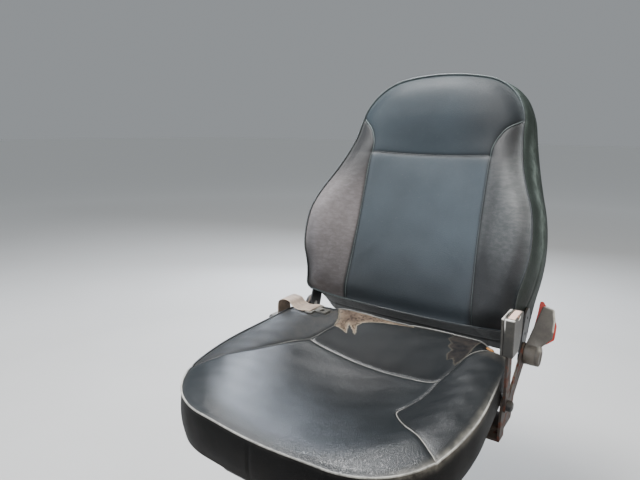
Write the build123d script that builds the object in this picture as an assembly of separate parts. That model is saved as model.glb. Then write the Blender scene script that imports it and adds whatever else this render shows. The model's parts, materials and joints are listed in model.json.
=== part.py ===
from build123d import *
import math
import os

# Operator seat of a telehandler on a mechanical scissor suspension, in millimetres.
# +Z is up and the sitter faces -Y, so the sitter's left is +X. The origin is on the
# floor, at the middle of the four holes that bolt the base down.

# Base and suspension
base_width = 320
base_depth = 360
sheet = 3
channel_height = 40
flange_width = 40
bend_radius = 5
bolt_edge_inset = 20
bolt_end_inset = 50
bolt_hole_radius = 5.5
stack_height = 228
cross_depth = 18
pivot_inset = 40
arm_thickness = 5
arm_width = 34
arm_gap = 3
arm_edge_gap = 3
arm_slot_length = 84
arm_slot_width = 14
shaft_radius = 6
shaft_fit = 0.1
roller_width = 22
roller_gap = 0.3
collar_radius = 10
tube_radius = 11
tube_place = 0.2

# Springs, their adjuster and the damper
spring_radius = 16
spring_groove = 2.5
spring_turns = 9
spring_rear_y = 58
spring_front_y = -72
spring_x = 45
hook_wire = 2.2
hook_gap = 0.3
yoke_y = -102
yoke_radius = 7
yoke_half = 62
adjuster_radius = 6
adjuster_boss_radius = 14
adjuster_plate_width = 56
adjuster_plate_rise = 24
knob_radius = 32
knob_length = 28
knob_neck = 10
knob_bevel = 2.5
knob_reach = 20
knob_grip_radius = 9
damper_radius = 14
damper_rod_radius = 6
damper_body_length = 150
damper_eye_width = 22
damper_eye_wall = 6
damper_pin_radius = 5
damper_ear = 4
damper_top_y = -112
damper_top_drop = 45
damper_root_height = 12

# Slide rails and seat pan
rail_inset = 22
rail_width = 34
rail_height = 18
rail_wall = 2.5
rail_slot = 14
rail_gap = 0.3
upper_rail_length = 300
upper_rail_web = 8
upper_rail_rise = 9
rail_top_flange = 4
pan_width = 400
pan_front_y = -240
pan_rear_y = 165
pan_thickness = 4
pan_corner = 40
pan_rib_width = 14
pan_rib_depth = 3
pan_rib_count = 3
pan_rib_spacing = 55
lever_bar_radius = 5
lever_bar_half = 100
lever_bar_inset = 24
lever_bar_rear_y = -150
lever_bar_bend = 26

# Cushion
soft_gap = 0.3
cushion_front_y = -288
cushion_rear_y = 160
cushion_front_flat = 110
cushion_front_bow = 3.5
cushion_corner_x = 205
cushion_corner_depth = 53
cushion_side_x = 232
cushion_side_depth = 108
cushion_half_width = 244
cushion_widest_depth = 248
cushion_rear_half = 236
cushion_rear_corner = 76
cushion_rear_flat = 160
cushion_crest_depth = 40
cushion_front_z = 341
cushion_crest_z = 370
cushion_dish_z = 316
cushion_dish_y = -10
cushion_dish_radius = 424
cushion_rim = 8
skirt_front_z = 276
skirt_rear_z = 312
skirt_tuck = 34

# Backrest, drawn in its own plane: u across, v up along the back, w out of its face
back_y = 190
back_z = 390
back_angle = 16.4
back_rear_w = -92
back_rear_round = 30
back_dish_radius = 354
# Half width and height of the outline from the top's middle to the bottom corner
back_outline_points = ((0, 508), (98, 498), (190, 404), (228, 250), (241, 84), (233, -8), (200, -45))
# Height, reach in front of the face and rounding of the bolsters' side view
back_crest_points = ((-62, -30, 0), (-4, 36, 25), (90, 74, 120), (180, 68, 200), (360, 8, 300),
                     (530, -19, 0))
shell_thickness = 5
shell_inset = 34
shell_recess = 2
shell_border = 26

# Recliner
hinge_y = 194
hinge_z = 351
pin_radius = 6
pin_fit = 0.05
back_arm_x = 234
back_arm_thickness = 3.5
plate_gap = 0.5
plate_thickness = 4
plate_round = 20
plate_elbow_y = 125
plate_elbow_z = 300
plate_elbow_round = 16
plate_foot_y = 68
plate_foot_length = 62
foot_thickness = 4
foot_gap = 5
back_arm_low = 20
back_arm_high = 66
back_arm_width = 38
hub_radius = 19
edge_bevel = 2.5
hub_length = 28
cap_length = 9
cap_floor = 3
lever_lean = 20
paddle_front = 8
paddle_thickness = 9
paddle_round = 4
red_thickness = 4
# Outlines across the hub and up the paddle, from the hub's inner end and its middle
paddle_points = ((0, 0), (0, 17), (19, 94), (38, 90), (43, 68), (43, 37), (27, 18), (27, 0))
red_points = ((8, 24), (7, 46), (10, 76), (11, 101), (17, 101), (25, 90), (37, 87), (41, 72),
              (45.5, 62), (45.5, 36), (33, 24))

# Belt buckle on its stalk and belt reel
anchor_y = 52
anchor_z = 314
anchor_plate_x = 242.5
anchor_width = 26
anchor_round = 13
stalk_thickness = 4
stalk_width = 25
anchor_bolt_radius = 5
anchor_head_radius = 9
anchor_head_length = 9
buckle_y = 42
buckle_low_z = 410
buckle_height = 66
buckle_depth = 56
buckle_width = 21
buckle_cut = 24
buckle_round = 2
button_depth = 46
button_width = 11
button_inset = 4
button_shift = 2.8
tongue_slot_depth = 26
tongue_slot_shift = 6.2
tongue_slot_front = 12
tongue_slot_width = 3.2
tongue_slot_drop = 40
reel_y = 112
reel_low_z = 283
reel_width = 42
reel_depth = 70
reel_height = 64
reel_round = 7
reel_cover_radius = 27
reel_cover_length = 5
webbing_width = 46
webbing_thickness = 2
webbing_arch = 15
webbing_turn = 30
webbing_landing = 48
webbing_reach = 74
webbing_bend = (10, 12, 12)
tongue_thickness = 3
tongue_length = 44

# Worked out from the sizes above
channel_inside = channel_height - 2 * sheet
low_pivot_z = channel_height / 2
high_pivot_z = stack_height - channel_height / 2
pivot_rise = high_pivot_z - low_pivot_z
pivot_reach = base_depth / 2 - pivot_inset
bolt_x = base_width / 2 - bolt_edge_inset
bolt_y = base_depth / 2 - bolt_end_inset
arm_length = math.hypot(2 * pivot_reach, pivot_rise)
arm_angle = math.degrees(math.atan2(pivot_rise, 2 * pivot_reach))
flange_edge_x = base_width / 2 - flange_width
outer_arm_x = flange_edge_x - arm_edge_gap - arm_thickness
inner_arm_x = outer_arm_x - arm_gap - arm_thickness
roller_radius = channel_inside / 2 - roller_gap
roller_x = flange_edge_x + (flange_width - sheet) / 2
knob_rear_y = -base_depth / 2 - knob_reach
knob_front_y = knob_rear_y - knob_length
tube_y = pivot_reach - 2 * pivot_reach * tube_place
tube_low_z = low_pivot_z + pivot_rise * tube_place
tube_high_z = high_pivot_z - pivot_rise * tube_place
rail_x = base_width / 2 - rail_inset
foot_inner_x = rail_x + rail_width / 2 + foot_gap
rail_top_z = stack_height + rail_height + upper_rail_rise
pan_top_z = rail_top_z + pan_thickness
cushion_low_z = pan_top_z + soft_gap
plate_x = back_arm_x + back_arm_thickness + plate_gap
hub_x = plate_x + plate_thickness + plate_gap
roller_shaft_half = roller_x + roller_width / 2 + 1
stalk_x = anchor_plate_x + plate_thickness + rail_gap
lean = math.radians(back_angle)
back_plane = Plane(origin=(0, back_y, back_z), x_dir=(1, 0, 0),
                   z_dir=(0, -math.cos(lean), math.sin(lean)))


def other_side(shape):
    """The same piece on the sitter's right."""
    return mirror(shape, about=Plane.YZ)


def block(x0, x1, y0, y1, z0, z1):
    """A box between two corners."""
    middle = Pos((x0 + x1) / 2, (y0 + y1) / 2, (z0 + z1) / 2)
    return middle * Box(abs(x1 - x0), abs(y1 - y0), abs(z1 - z0))


def rod_x(x0, x1, y, z, radius):
    """A round bar across the seat."""
    return Pos((x0 + x1) / 2, y, z) * Rot(0, 90, 0) * Cylinder(radius, abs(x1 - x0))


def rod_y(y0, y1, x, z, radius):
    """A round bar along the seat."""
    return Pos(x, (y0 + y1) / 2, z) * Rot(90, 0, 0) * Cylinder(radius, abs(y1 - y0))


def plate_at(sketch, x0, thickness):
    """A sketch of (y, z) made into a plate from x0 outwards."""
    return Pos(x0, 0, 0) * extrude(Plane.YZ * sketch, amount=thickness)


def link(start, start_radius, end, end_radius):
    """The outline round two circles."""
    first = Pos(*start) * Circle(start_radius)
    last = Pos(*end) * Circle(end_radius)
    return make_hull(first.edges() + last.edges())


def tangent_chain(points, direction):
    """Arcs through the points, each tangent to the one before, mirrored about x = 0."""
    curves = []
    for start, end in zip(points[:-1], points[1:]):
        arc = TangentArc(start, end, tangent=direction)
        direction = arc % 1
        curves.append(arc)
    last = points[-1]
    if abs(last[0]) > 1e-6:
        curves.append(Line(last, (0, last[1])))
    half = make_face(curves + [Line((0, last[1]), points[0])])
    return half + mirror(half, about=Plane.YZ)


# Base, suspension and rails

def side_channel(low_z):
    """A pressed channel, open towards the middle, with shaft holes and slots in its web."""
    half = base_depth / 2
    outer = block(flange_edge_x, base_width / 2, -half, half, low_z, low_z + channel_height)
    bends = outer.edges().filter_by(Axis.Y).group_by(Axis.X)[-1]
    outer = fillet(bends, bend_radius)
    inner = block(flange_edge_x, base_width / 2 - sheet, -half, half,
                  low_z + sheet, low_z + channel_height - sheet)
    bends = inner.edges().filter_by(Axis.Y).group_by(Axis.X)[-1]
    inner = fillet(bends, bend_radius - sheet)
    channel = outer - inner
    middle_z = low_z + channel_height / 2
    channel -= rod_x(roller_x, base_width, -pivot_reach, middle_z, shaft_radius + shaft_fit)
    window = plate_at(Pos(0, middle_z) * SlotOverall(pivot_reach, channel_height / 3),
                      roller_x, base_width)
    return channel - window


def base_side():
    """The lower channel with its two floor holes."""
    side = side_channel(0)
    for y in (-bolt_y, bolt_y):
        side -= Pos(bolt_x, y, 0) * Cylinder(bolt_hole_radius, 3 * sheet)
        side -= Pos(bolt_x, y, channel_height) * Cylinder(2 * bolt_hole_radius, 3 * sheet)
    return side


def cross_member(low_z, end):
    """A cross channel at the front (end -1) or rear (end 1), open towards the middle."""
    outer_y = end * base_depth / 2
    inner_y = end * (base_depth / 2 - cross_depth)
    web_y = end * (base_depth / 2 - sheet)
    outer = block(-flange_edge_x, flange_edge_x, inner_y, outer_y, low_z, low_z + channel_height)
    inner = block(-flange_edge_x, flange_edge_x, inner_y, web_y,
                  low_z + sheet, low_z + channel_height - sheet)
    return outer - inner


def base_cross_front():
    """The front cross channel with the plate that holds the weight adjuster."""
    front_y = -base_depth / 2
    half = adjuster_plate_width / 2
    top_z = tube_low_z + adjuster_plate_rise
    face = make_face(Polyline((-half, 0), (half, 0), (half, top_z), (-half, top_z), close=True))
    corners = face.vertices().group_by(Axis.Y)[-1]
    face = fillet(corners, adjuster_plate_rise - 4)
    plate = Pos(0, front_y + sheet, 0) * extrude(Plane.XZ * face, amount=sheet)
    plate -= rod_y(front_y - sheet, front_y + 2 * sheet, 0, tube_low_z, adjuster_radius + shaft_fit)
    return cross_member(0, -1) + plate


def damper_points():
    """The lower and upper eye of the damper as (y, z)."""
    return (tube_y, tube_low_z), (damper_top_y, stack_height - damper_top_drop)


def upper_cross_front():
    """The upper front cross channel with two ears for the damper."""
    low, high = damper_points()
    wall_y = -base_depth / 2 + sheet
    member = cross_member(stack_height - channel_height, -1)
    eye = Pos(*high) * Circle(damper_pin_radius + damper_eye_wall)
    root_z = stack_height - channel_height + damper_root_height / 2
    root = Pos(wall_y + 1, root_z) * Rectangle(2, damper_root_height)
    ear = make_hull(eye.edges() + root.edges())
    ear -= Pos(*high) * Circle(damper_pin_radius + shaft_fit)
    gap = damper_eye_width / 2 + plate_gap
    for x in (gap, -gap - damper_ear):
        member += plate_at(ear, x, damper_ear)
    return member


def scissor_arm(x0, slope):
    """One flat arm of the scissor, rising to the rear for slope 1 and to the front for -1."""
    middle = (0, (low_pivot_z + high_pivot_z) / 2)
    place = Pos(*middle) * Rot(0, 0, slope * arm_angle)
    shape = place * SlotCenterToCenter(arm_length, arm_width)
    for along in (-arm_length / 2, 0, arm_length / 2):
        shape -= place * Pos(along, 0) * Circle(shaft_radius + shaft_fit)
    for along in (-arm_length / 4, arm_length / 4):
        shape -= place * Pos(along, 0) * SlotOverall(arm_slot_length, arm_slot_width)
    return plate_at(shape, x0, arm_thickness)


def outer_tube():
    """The tube that joins the two outer arms."""
    return rod_x(-outer_arm_x, outer_arm_x, tube_y, tube_high_z, tube_radius)


def inner_tube():
    """The tube that joins the two inner arms and holds the springs' rear hooks."""
    return rod_x(-inner_arm_x, inner_arm_x, tube_y, tube_low_z, tube_radius)


def shaft(y, z, half_length, collar_x):
    """A pivot shaft with a collar inside each arm."""
    bar = rod_x(-half_length, half_length, y, z, shaft_radius)
    for side in (-1, 1):
        bar += rod_x(side * (collar_x - arm_gap), side * collar_x, y, z, collar_radius)
    return bar


def roller_pair(z):
    """The two rollers that run in a pair of channels."""
    roller = rod_x(roller_x - roller_width / 2, roller_x + roller_width / 2,
                   pivot_reach, z, roller_radius)
    rims = roller.edges().filter_by(GeomType.CIRCLE)
    roller = chamfer(rims, 1.5)
    roller -= rod_x(flange_edge_x, base_width / 2, pivot_reach, z, shaft_radius + shaft_fit)
    return Compound([roller, other_side(roller)])


def centre_pins():
    """The two short pins where the arms cross."""
    middle_z = (low_pivot_z + high_pivot_z) / 2
    outside = outer_arm_x + arm_thickness
    pin = rod_x(inner_arm_x - arm_gap, outside, 0, middle_z, shaft_radius)
    pin += rod_x(inner_arm_x - arm_gap, inner_arm_x, 0, middle_z, collar_radius)
    pin += rod_x(inner_arm_x + arm_thickness, outer_arm_x, 0, middle_z, collar_radius)
    return Compound([pin, other_side(pin)])


def hook(y, radius, x):
    """A spring's end loop round a bar that lies across the seat."""
    loop_radius = radius + hook_gap + hook_wire
    return Pos(x, y, tube_low_z) * Rot(0, 90, 0) * Torus(loop_radius, hook_wire)


def spring(x):
    """A close-wound extension spring with a loop at each end."""
    pitch = (spring_rear_y - spring_front_y) / spring_turns
    outline = [(spring_front_y, 0)]
    for turn in range(spring_turns):
        start = spring_front_y + turn * pitch
        outline.append((start, spring_radius - spring_groove))
        outline.append((start + pitch / 2, spring_radius))
    outline.append((spring_rear_y, spring_radius - spring_groove))
    outline.append((spring_rear_y, 0))
    half = make_face(Polyline(*outline, close=True))
    coil = revolve(half, axis=Axis.X)
    coil = Pos(x, 0, tube_low_z) * Rot(0, 0, 90) * coil
    rear_end = tube_y - tube_radius - hook_gap - hook_wire
    front_end = yoke_y + yoke_radius + hook_gap + hook_wire
    shanks = rod_y(spring_rear_y, rear_end, x, tube_low_z, hook_wire)
    shanks += rod_y(front_end, spring_front_y, x, tube_low_z, hook_wire)
    return coil + shanks + hook(tube_y, tube_radius, x) + hook(yoke_y, yoke_radius, x)


def spring_yoke():
    """The bar that the adjuster pulls and the springs' front loops hang on."""
    bar = rod_x(-yoke_half, yoke_half, yoke_y, tube_low_z, yoke_radius)
    bar += rod_y(yoke_y - yoke_radius - 3, yoke_y + yoke_radius + 3, 0, tube_low_z,
                 adjuster_boss_radius)
    return bar - rod_y(yoke_y - 30, yoke_y + 30, 0, tube_low_z, adjuster_radius + shaft_fit)


def adjuster_screw():
    """The screw from the knob to the yoke, with a collar in front of its plate."""
    front_y = -base_depth / 2
    screw = rod_y(knob_front_y + knob_length / 2, yoke_y + 2 * yoke_radius + 3, 0, tube_low_z,
                  adjuster_radius)
    return screw + rod_y(front_y - 6, front_y - shaft_fit, 0, tube_low_z, collar_radius)


def adjuster_knob():
    """The five-lobed hand knob for the sitter's weight."""
    grip = Circle(knob_radius)
    for turn in range(5):
        angle = math.radians(90 + 72 * turn)
        reach = knob_radius + knob_grip_radius / 2
        grip -= Pos(reach * math.cos(angle), reach * math.sin(angle)) * Circle(knob_grip_radius)
    knob = Pos(0, knob_rear_y, tube_low_z) * extrude(Plane.XZ * grip, amount=knob_length)
    front = knob.faces().sort_by(Axis.Y)[0]
    knob = chamfer(front.edges(), knob_bevel)
    knob += rod_y(knob_rear_y, knob_rear_y + knob_neck, 0, tube_low_z, adjuster_boss_radius)
    bore = rod_y(knob_front_y + knob_length / 2, knob_rear_y + knob_neck, 0, tube_low_z,
                 adjuster_radius + shaft_fit)
    return knob - bore


def along_damper(distance):
    """The (y, z) at a distance from the damper's lower eye towards its upper one."""
    low, high = damper_points()
    length = math.hypot(high[0] - low[0], high[1] - low[1])
    share = distance / length
    return low[0] + share * (high[0] - low[0]), low[1] + share * (high[1] - low[1])


def damper_bar(start, end, radius):
    """A round bar on the damper's axis between two distances from its lower eye."""
    first = along_damper(start)
    last = along_damper(end)
    path = Line((0, *first), (0, *last))
    return sweep(Plane(origin=path @ 0, z_dir=path % 0) * Circle(radius), path)


def damper_length():
    low, high = damper_points()
    return math.hypot(high[0] - low[0], high[1] - low[1])


def damper_body():
    """The damper's cylinder with its eye round the springs' tube."""
    low, high = damper_points()
    half = damper_eye_width / 2
    body = damper_bar(tube_radius, tube_radius + damper_body_length, damper_radius)
    body += rod_x(-half, half, *low, tube_radius + damper_eye_wall)
    return body - rod_x(-2 * half, 2 * half, *low, tube_radius + shaft_fit)


def damper_rod():
    """The damper's rod, its upper eye and the pin through the ears."""
    low, high = damper_points()
    half = damper_eye_width / 2
    start = tube_radius + damper_body_length
    bar = damper_bar(start, damper_length(), damper_rod_radius)
    bar += rod_x(-half, half, *high, damper_pin_radius + damper_eye_wall)
    pin_half = half + plate_gap + damper_ear
    return bar + rod_x(-pin_half, pin_half, *high, damper_pin_radius)


def lower_rail():
    """The fixed slide rail: a channel with lips over its slot."""
    half = rail_width / 2
    outer = Rectangle(rail_width, rail_height)
    outer -= Rectangle(rail_width - 2 * rail_wall, rail_height - 2 * rail_wall)
    outer -= Pos(0, half) * Rectangle(rail_slot, rail_width)
    place = Pos(rail_x, base_depth / 2, stack_height + rail_height / 2)
    return place * extrude(Plane.XZ * outer, amount=base_depth)


def upper_rail():
    """The sliding rail: an inverted channel in the fixed one, a web and a top flange."""
    foot_width = rail_width - 2 * rail_wall - 2 * rail_gap
    foot_height = rail_height - 2 * rail_wall - 2 * rail_gap
    foot_z = rail_wall + rail_gap
    foot = Pos(0, foot_z + foot_height / 2) * Rectangle(foot_width, foot_height)
    hollow = Pos(0, foot_z + foot_height / 2 - rail_wall)
    foot -= hollow * Rectangle(foot_width - 2 * rail_wall, foot_height)
    top_z = rail_top_z - stack_height
    web_low = foot_z + foot_height - rail_wall
    web = Pos(0, (web_low + top_z) / 2) * Rectangle(upper_rail_web, top_z - web_low)
    flange = Pos(0, top_z - rail_top_flange / 2) * Rectangle(rail_width, rail_top_flange)
    place = Pos(rail_x, upper_rail_length / 2, stack_height)
    return place * extrude(Plane.XZ * (foot + web + flange), amount=upper_rail_length)


def seat_pan():
    """The pressed pan under the cushion, with ribs below it."""
    length = pan_rear_y - pan_front_y
    middle_y = (pan_rear_y + pan_front_y) / 2
    outline = Pos(0, middle_y) * RectangleRounded(pan_width, length, pan_corner)
    pan = Pos(0, 0, rail_top_z) * extrude(outline, amount=pan_thickness)
    rib = SlotOverall(length - 2 * pan_corner, pan_rib_width)
    for index in range(pan_rib_count):
        x = (index - (pan_rib_count - 1) / 2) * pan_rib_spacing
        place = Pos(x, middle_y, rail_top_z - pan_rib_depth) * Rot(0, 0, 90)
        pan += place * extrude(rib, amount=pan_rib_depth)
    return pan


def slide_lever():
    """The bar under the cushion's front that frees the slide."""
    z = rail_top_z - lever_bar_radius - soft_gap
    front_y = cushion_front_y + lever_bar_inset
    corners = [(-lever_bar_half, lever_bar_rear_y, z), (-lever_bar_half, front_y, z),
               (lever_bar_half, front_y, z), (lever_bar_half, lever_bar_rear_y, z)]
    path = FilletPolyline(*corners, radius=lever_bar_bend)
    return sweep(Plane(origin=path @ 0, z_dir=path % 0) * Circle(lever_bar_radius), path)


# Cushion and backrest

def dish_cutter():
    """A ring-shaped tool that hollows the cushion, deepest at the dish."""
    low = ThreePointArc((cushion_front_y, cushion_front_z), (cushion_dish_y, cushion_dish_z),
                        (cushion_rear_y, cushion_crest_z))
    axis_y, axis_z = low.arc_center.X, low.arc_center.Y
    lens = Pos(0, axis_z - low.radius + cushion_dish_radius) * Circle(cushion_dish_radius)
    depth = cushion_half_width / 3
    lens &= Pos(0, axis_z - low.radius + depth / 2) * Rectangle(3 * cushion_half_width, depth)
    slice_plane = Plane(origin=(0, axis_y, 0), x_dir=(1, 0, 0), z_dir=(0, -1, 0))
    turn = Axis((0, axis_y, axis_z), (1, 0, 0))
    ring = revolve(slice_plane * lens, axis=turn, revolution_arc=70)
    return ring.rotate(turn, -35)


def skirt_cutter(half):
    """A wedge that tucks one side skirt under, more so towards the rear."""
    outer_x = half * (cushion_half_width + 20)
    tuck_x = half * (cushion_half_width - skirt_tuck)
    edge_x = half * (cushion_half_width + 2)
    sections = []
    for y, top_z in ((cushion_front_y - 1, skirt_front_z), (cushion_rear_y + 1, skirt_rear_z)):
        corners = Polyline((tuck_x, cushion_low_z - 1), (edge_x, top_z), (outer_x, top_z),
                           (outer_x, cushion_low_z - 1), close=True)
        plane = Plane(origin=(0, y, 0), x_dir=(1, 0, 0), z_dir=(0, -1, 0))
        sections.append(plane * make_face(corners))
    return loft(sections, ruled=True)


def cushion():
    """The dished seat cushion: its plan, its side profile, the hollow and tucked skirts."""
    plan = tangent_chain([(0, cushion_front_y),
                          (cushion_front_flat, cushion_front_y + cushion_front_bow),
                          (cushion_corner_x, cushion_front_y + cushion_corner_depth),
                          (cushion_side_x, cushion_front_y + cushion_side_depth),
                          (cushion_half_width, cushion_front_y + cushion_widest_depth),
                          (cushion_rear_half, cushion_rear_y - cushion_rear_corner),
                          (cushion_rear_flat, cushion_rear_y)], (1, 0))
    body = Pos(0, 0, cushion_low_z) * extrude(plan, amount=cushion_crest_z)
    front = (cushion_front_y - 1, cushion_front_z)
    crest = (cushion_rear_y - cushion_crest_depth, cushion_crest_z)
    rear = cushion_rear_y + 1
    side = make_face(Polyline(front, crest, (rear, cushion_crest_z), (rear, 0), (front[0], 0),
                              close=True))
    body &= plate_at(side, -cushion_half_width - 5, 2 * cushion_half_width + 10)
    top = body.faces().filter_by(lambda face: face.normal_at().Z > 0.9)
    rim = top.edges().filter_by(lambda edge: abs((edge @ 0.5).Y - crest[0]) > 1)
    body = fillet(rim, cushion_rim)
    body -= dish_cutter()
    for half in (-1, 1):
        body -= skirt_cutter(half)
    return body


def back_outline(inset):
    """The backrest's face outline in (u, v), drawn in by an inset."""
    outline = tangent_chain(back_outline_points, (1, 0))
    return offset(outline, amount=-inset) if inset else outline


def back_cushion():
    """The bolstered backrest: its outline, its side profile and the hollow between bolsters."""
    body = Pos(0, 0, back_rear_w) * extrude(back_outline(0), amount=200)
    rear_edges = body.faces().sort_by(Axis.Z)[0].edges()
    body = fillet(rear_edges, back_rear_round)
    corners = [(height, reach) for height, reach, rounding in back_crest_points]
    rounds = [rounding for height, reach, rounding in back_crest_points[1:-1]]
    crest = FilletPolyline(*corners, radius=rounds)
    behind = 2 * back_rear_w
    rear = Polyline(corners[-1], (corners[-1][0], behind), (corners[0][0], behind), corners[0])
    profile = make_face([crest, rear])
    wide = max(across for across, along in back_outline_points) + 5
    body &= plate_at(profile, -wide, 2 * wide)
    hollow = Rot(90, 0, 0) * Cylinder(back_dish_radius, 4 * back_dish_radius)
    body -= Pos(0, 0, back_dish_radius) * hollow
    body = back_plane.location * body
    for pocket in (arm_pocket(), other_side(arm_pocket())):
        body -= pocket
    return body


def back_shell():
    """The moulded panel behind the backrest, with a raised border."""
    shell = extrude(back_outline(shell_inset), amount=shell_thickness)
    shell = fillet(shell.faces().sort_by(Axis.Z)[0].edges(), shell_thickness - 2)
    shell -= extrude(back_outline(shell_inset + shell_border), amount=shell_recess)
    place = Pos(0, 0, back_rear_w - soft_gap - shell_thickness)
    return back_plane.location * place * shell


# Recliner, lever, belt buckle and belt reel

def arm_pocket():
    """The room for the back arm in the upholstery's side."""
    outline = link((0, -back_arm_width), back_arm_low + soft_gap,
                   (0, back_arm_high), back_arm_width / 2 + soft_gap)
    place = Pos(hinge_y, hinge_z) * Rot(0, 0, -back_angle)
    return plate_at(place * outline, back_arm_x - soft_gap, back_arm_width)


def back_arm():
    """The backrest's flat arm with the hinge hole, set into the side of its upholstery."""
    outline = link((0, 0), back_arm_low, (0, back_arm_high), back_arm_width / 2)
    outline -= Circle(pin_radius + pin_fit)
    for along in (back_arm_high - 30, back_arm_high):
        outline -= Pos(0, along) * Circle(3)
    place = Pos(hinge_y, hinge_z) * Rot(0, 0, -back_angle)
    return plate_at(place * outline, back_arm_x, back_arm_thickness)


def recliner_plate():
    """The seat's recliner plate: a foot under the pan and a bent arm up to the hinge."""
    hinge = (hinge_y, hinge_z)
    elbow = (plate_elbow_y, plate_elbow_z)
    upper = link(hinge, plate_round, elbow, plate_elbow_round)
    foot_low = rail_top_z - foot_thickness
    foot_middle = plate_foot_y + plate_foot_length / 2
    base = Pos(foot_middle, foot_low + 1) * Rectangle(plate_foot_length, 2)
    lower = make_hull(base.edges() + (Pos(*elbow) * Circle(plate_elbow_round)).edges())
    outline = upper + lower
    outline -= Pos(*hinge) * Circle(pin_radius + pin_fit)
    plate = plate_at(outline, plate_x, plate_thickness)
    return plate + block(foot_inner_x, plate_x + plate_thickness, plate_foot_y,
                         plate_foot_y + plate_foot_length, foot_low, rail_top_z)


def hinge_pin():
    """A hinge pin with a head inside the back arm's plane."""
    return rod_x(back_arm_x, hub_x + cap_length - cap_floor, hinge_y, hinge_z, pin_radius)


def recliner_cap():
    """The plain cap over the hinge on the sitter's right."""
    cap = rod_x(hub_x, hub_x + cap_length, hinge_y, hinge_z, hub_radius)
    cap = chamfer(cap.faces().sort_by(Axis.X)[-1].edges(), edge_bevel)
    return cap - rod_x(hub_x - 1, hub_x + cap_length - cap_floor, hinge_y, hinge_z,
                       pin_radius + pin_fit)


def paddle_slab(points, front, thickness):
    """A slab with a rounded outline, leaning back with the paddle."""
    lean = math.radians(lever_lean)
    plane = Plane(origin=(hub_x, hinge_y, hinge_z), x_dir=(1, 0, 0),
                  z_dir=(0, -math.cos(lean), math.sin(lean)))
    outline = make_face(Polyline(*points, close=True))
    corners = outline.vertices().filter_by(lambda point: point.Y > hub_radius + paddle_round)
    outline = fillet(corners, paddle_round)
    return extrude(plane.location * Pos(0, 0, front - thickness) * outline, amount=thickness,
                   dir=plane.z_dir)


def recliner_lever():
    """The hub and the broad grey paddle that frees the backrest."""
    hub = rod_x(hub_x, hub_x + hub_length, hinge_y, hinge_z, hub_radius)
    hub = chamfer(hub.faces().sort_by(Axis.X)[-1].edges(), edge_bevel)
    lever = hub + paddle_slab(paddle_points, paddle_front, paddle_thickness)
    bore_end = hub_x + cap_length - cap_floor
    return lever - rod_x(hub_x - 1, bore_end, hinge_y, hinge_z, pin_radius + pin_fit)


def red_liner():
    """The red rear half of the paddle, a little wider than the grey one."""
    return paddle_slab(red_points, paddle_front - paddle_thickness, red_thickness)


def anchor_plate():
    """The bracket from the pan to the buckle's bolt."""
    foot_low = rail_top_z - foot_thickness
    half = anchor_width / 2
    outline = Pos(anchor_y, anchor_z) * Circle(anchor_round)
    outline += Pos(anchor_y, (foot_low + anchor_z) / 2) * Rectangle(anchor_width, anchor_z - foot_low)
    outline -= Pos(anchor_y, anchor_z) * Circle(anchor_bolt_radius + shaft_fit)
    plate = plate_at(outline, anchor_plate_x, plate_thickness)
    return plate + block(foot_inner_x, anchor_plate_x + plate_thickness, anchor_y - half,
                         anchor_y + half, foot_low, rail_top_z)


def buckle_stalk():
    """The flat steel stalk between the bolt and the buckle."""
    half = stalk_width / 2
    low = Pos(anchor_y, anchor_z) * Circle(half)
    high = Pos(buckle_y, buckle_low_z - half) * Rectangle(stalk_width, stalk_width)
    outline = make_hull(low.edges() + high.edges())
    outline -= Pos(anchor_y, anchor_z) * Circle(anchor_bolt_radius + shaft_fit)
    return plate_at(outline, stalk_x, stalk_thickness)


def anchor_bolt():
    """The bolt that holds the stalk, with its round black cap."""
    head_x = stalk_x + stalk_thickness + rail_gap
    bolt = rod_x(anchor_plate_x, head_x, anchor_y, anchor_z, anchor_bolt_radius)
    head = rod_x(head_x, head_x + anchor_head_length, anchor_y, anchor_z, anchor_head_radius)
    head = chamfer(head.faces().sort_by(Axis.X)[-1].edges(), edge_bevel)
    return bolt + head


def buckle_middle():
    """The buckle's middle plane, in line with the stalk."""
    return stalk_x + stalk_thickness / 2


def buckle_button_box(grow):
    """The press button's block, grown by a clearance on its sides and below."""
    middle = buckle_middle() + button_shift
    rear_y = buckle_y + buckle_depth / 2 - button_inset
    top_z = buckle_low_z + buckle_height
    return block(middle - button_width / 2 - grow, middle + button_width / 2 + grow,
                 rear_y - button_depth - grow, rear_y + grow, top_z - 12 - grow, top_z + grow)


def belt_buckle():
    """The buckle's case, cut back at its lower rear, with its tongue slot and button recess."""
    middle = buckle_middle()
    front_y, rear_y = buckle_y - buckle_depth / 2, buckle_y + buckle_depth / 2
    high_z = buckle_low_z + buckle_height
    side = Polyline((front_y, high_z), (rear_y, high_z), (rear_y, buckle_low_z + buckle_cut),
                    (rear_y - buckle_cut / 2, buckle_low_z),
                    (front_y + buckle_cut / 3, buckle_low_z), close=True)
    case = plate_at(make_face(side), middle - buckle_width / 2, buckle_width)
    case = fillet(case.edges(), buckle_round)
    case -= buckle_button_box(soft_gap)
    slot_y = front_y + tongue_slot_front + tongue_slot_depth / 2
    slot = Pos(middle - tongue_slot_shift, slot_y, high_z - tongue_slot_drop / 2)
    return case - slot * Box(tongue_slot_width, tongue_slot_depth, tongue_slot_drop)


def buckle_button():
    """The faded red press button."""
    button = buckle_button_box(0)
    top = button.faces().sort_by(Axis.Z)[-1]
    return chamfer(top.edges(), 1)


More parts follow.
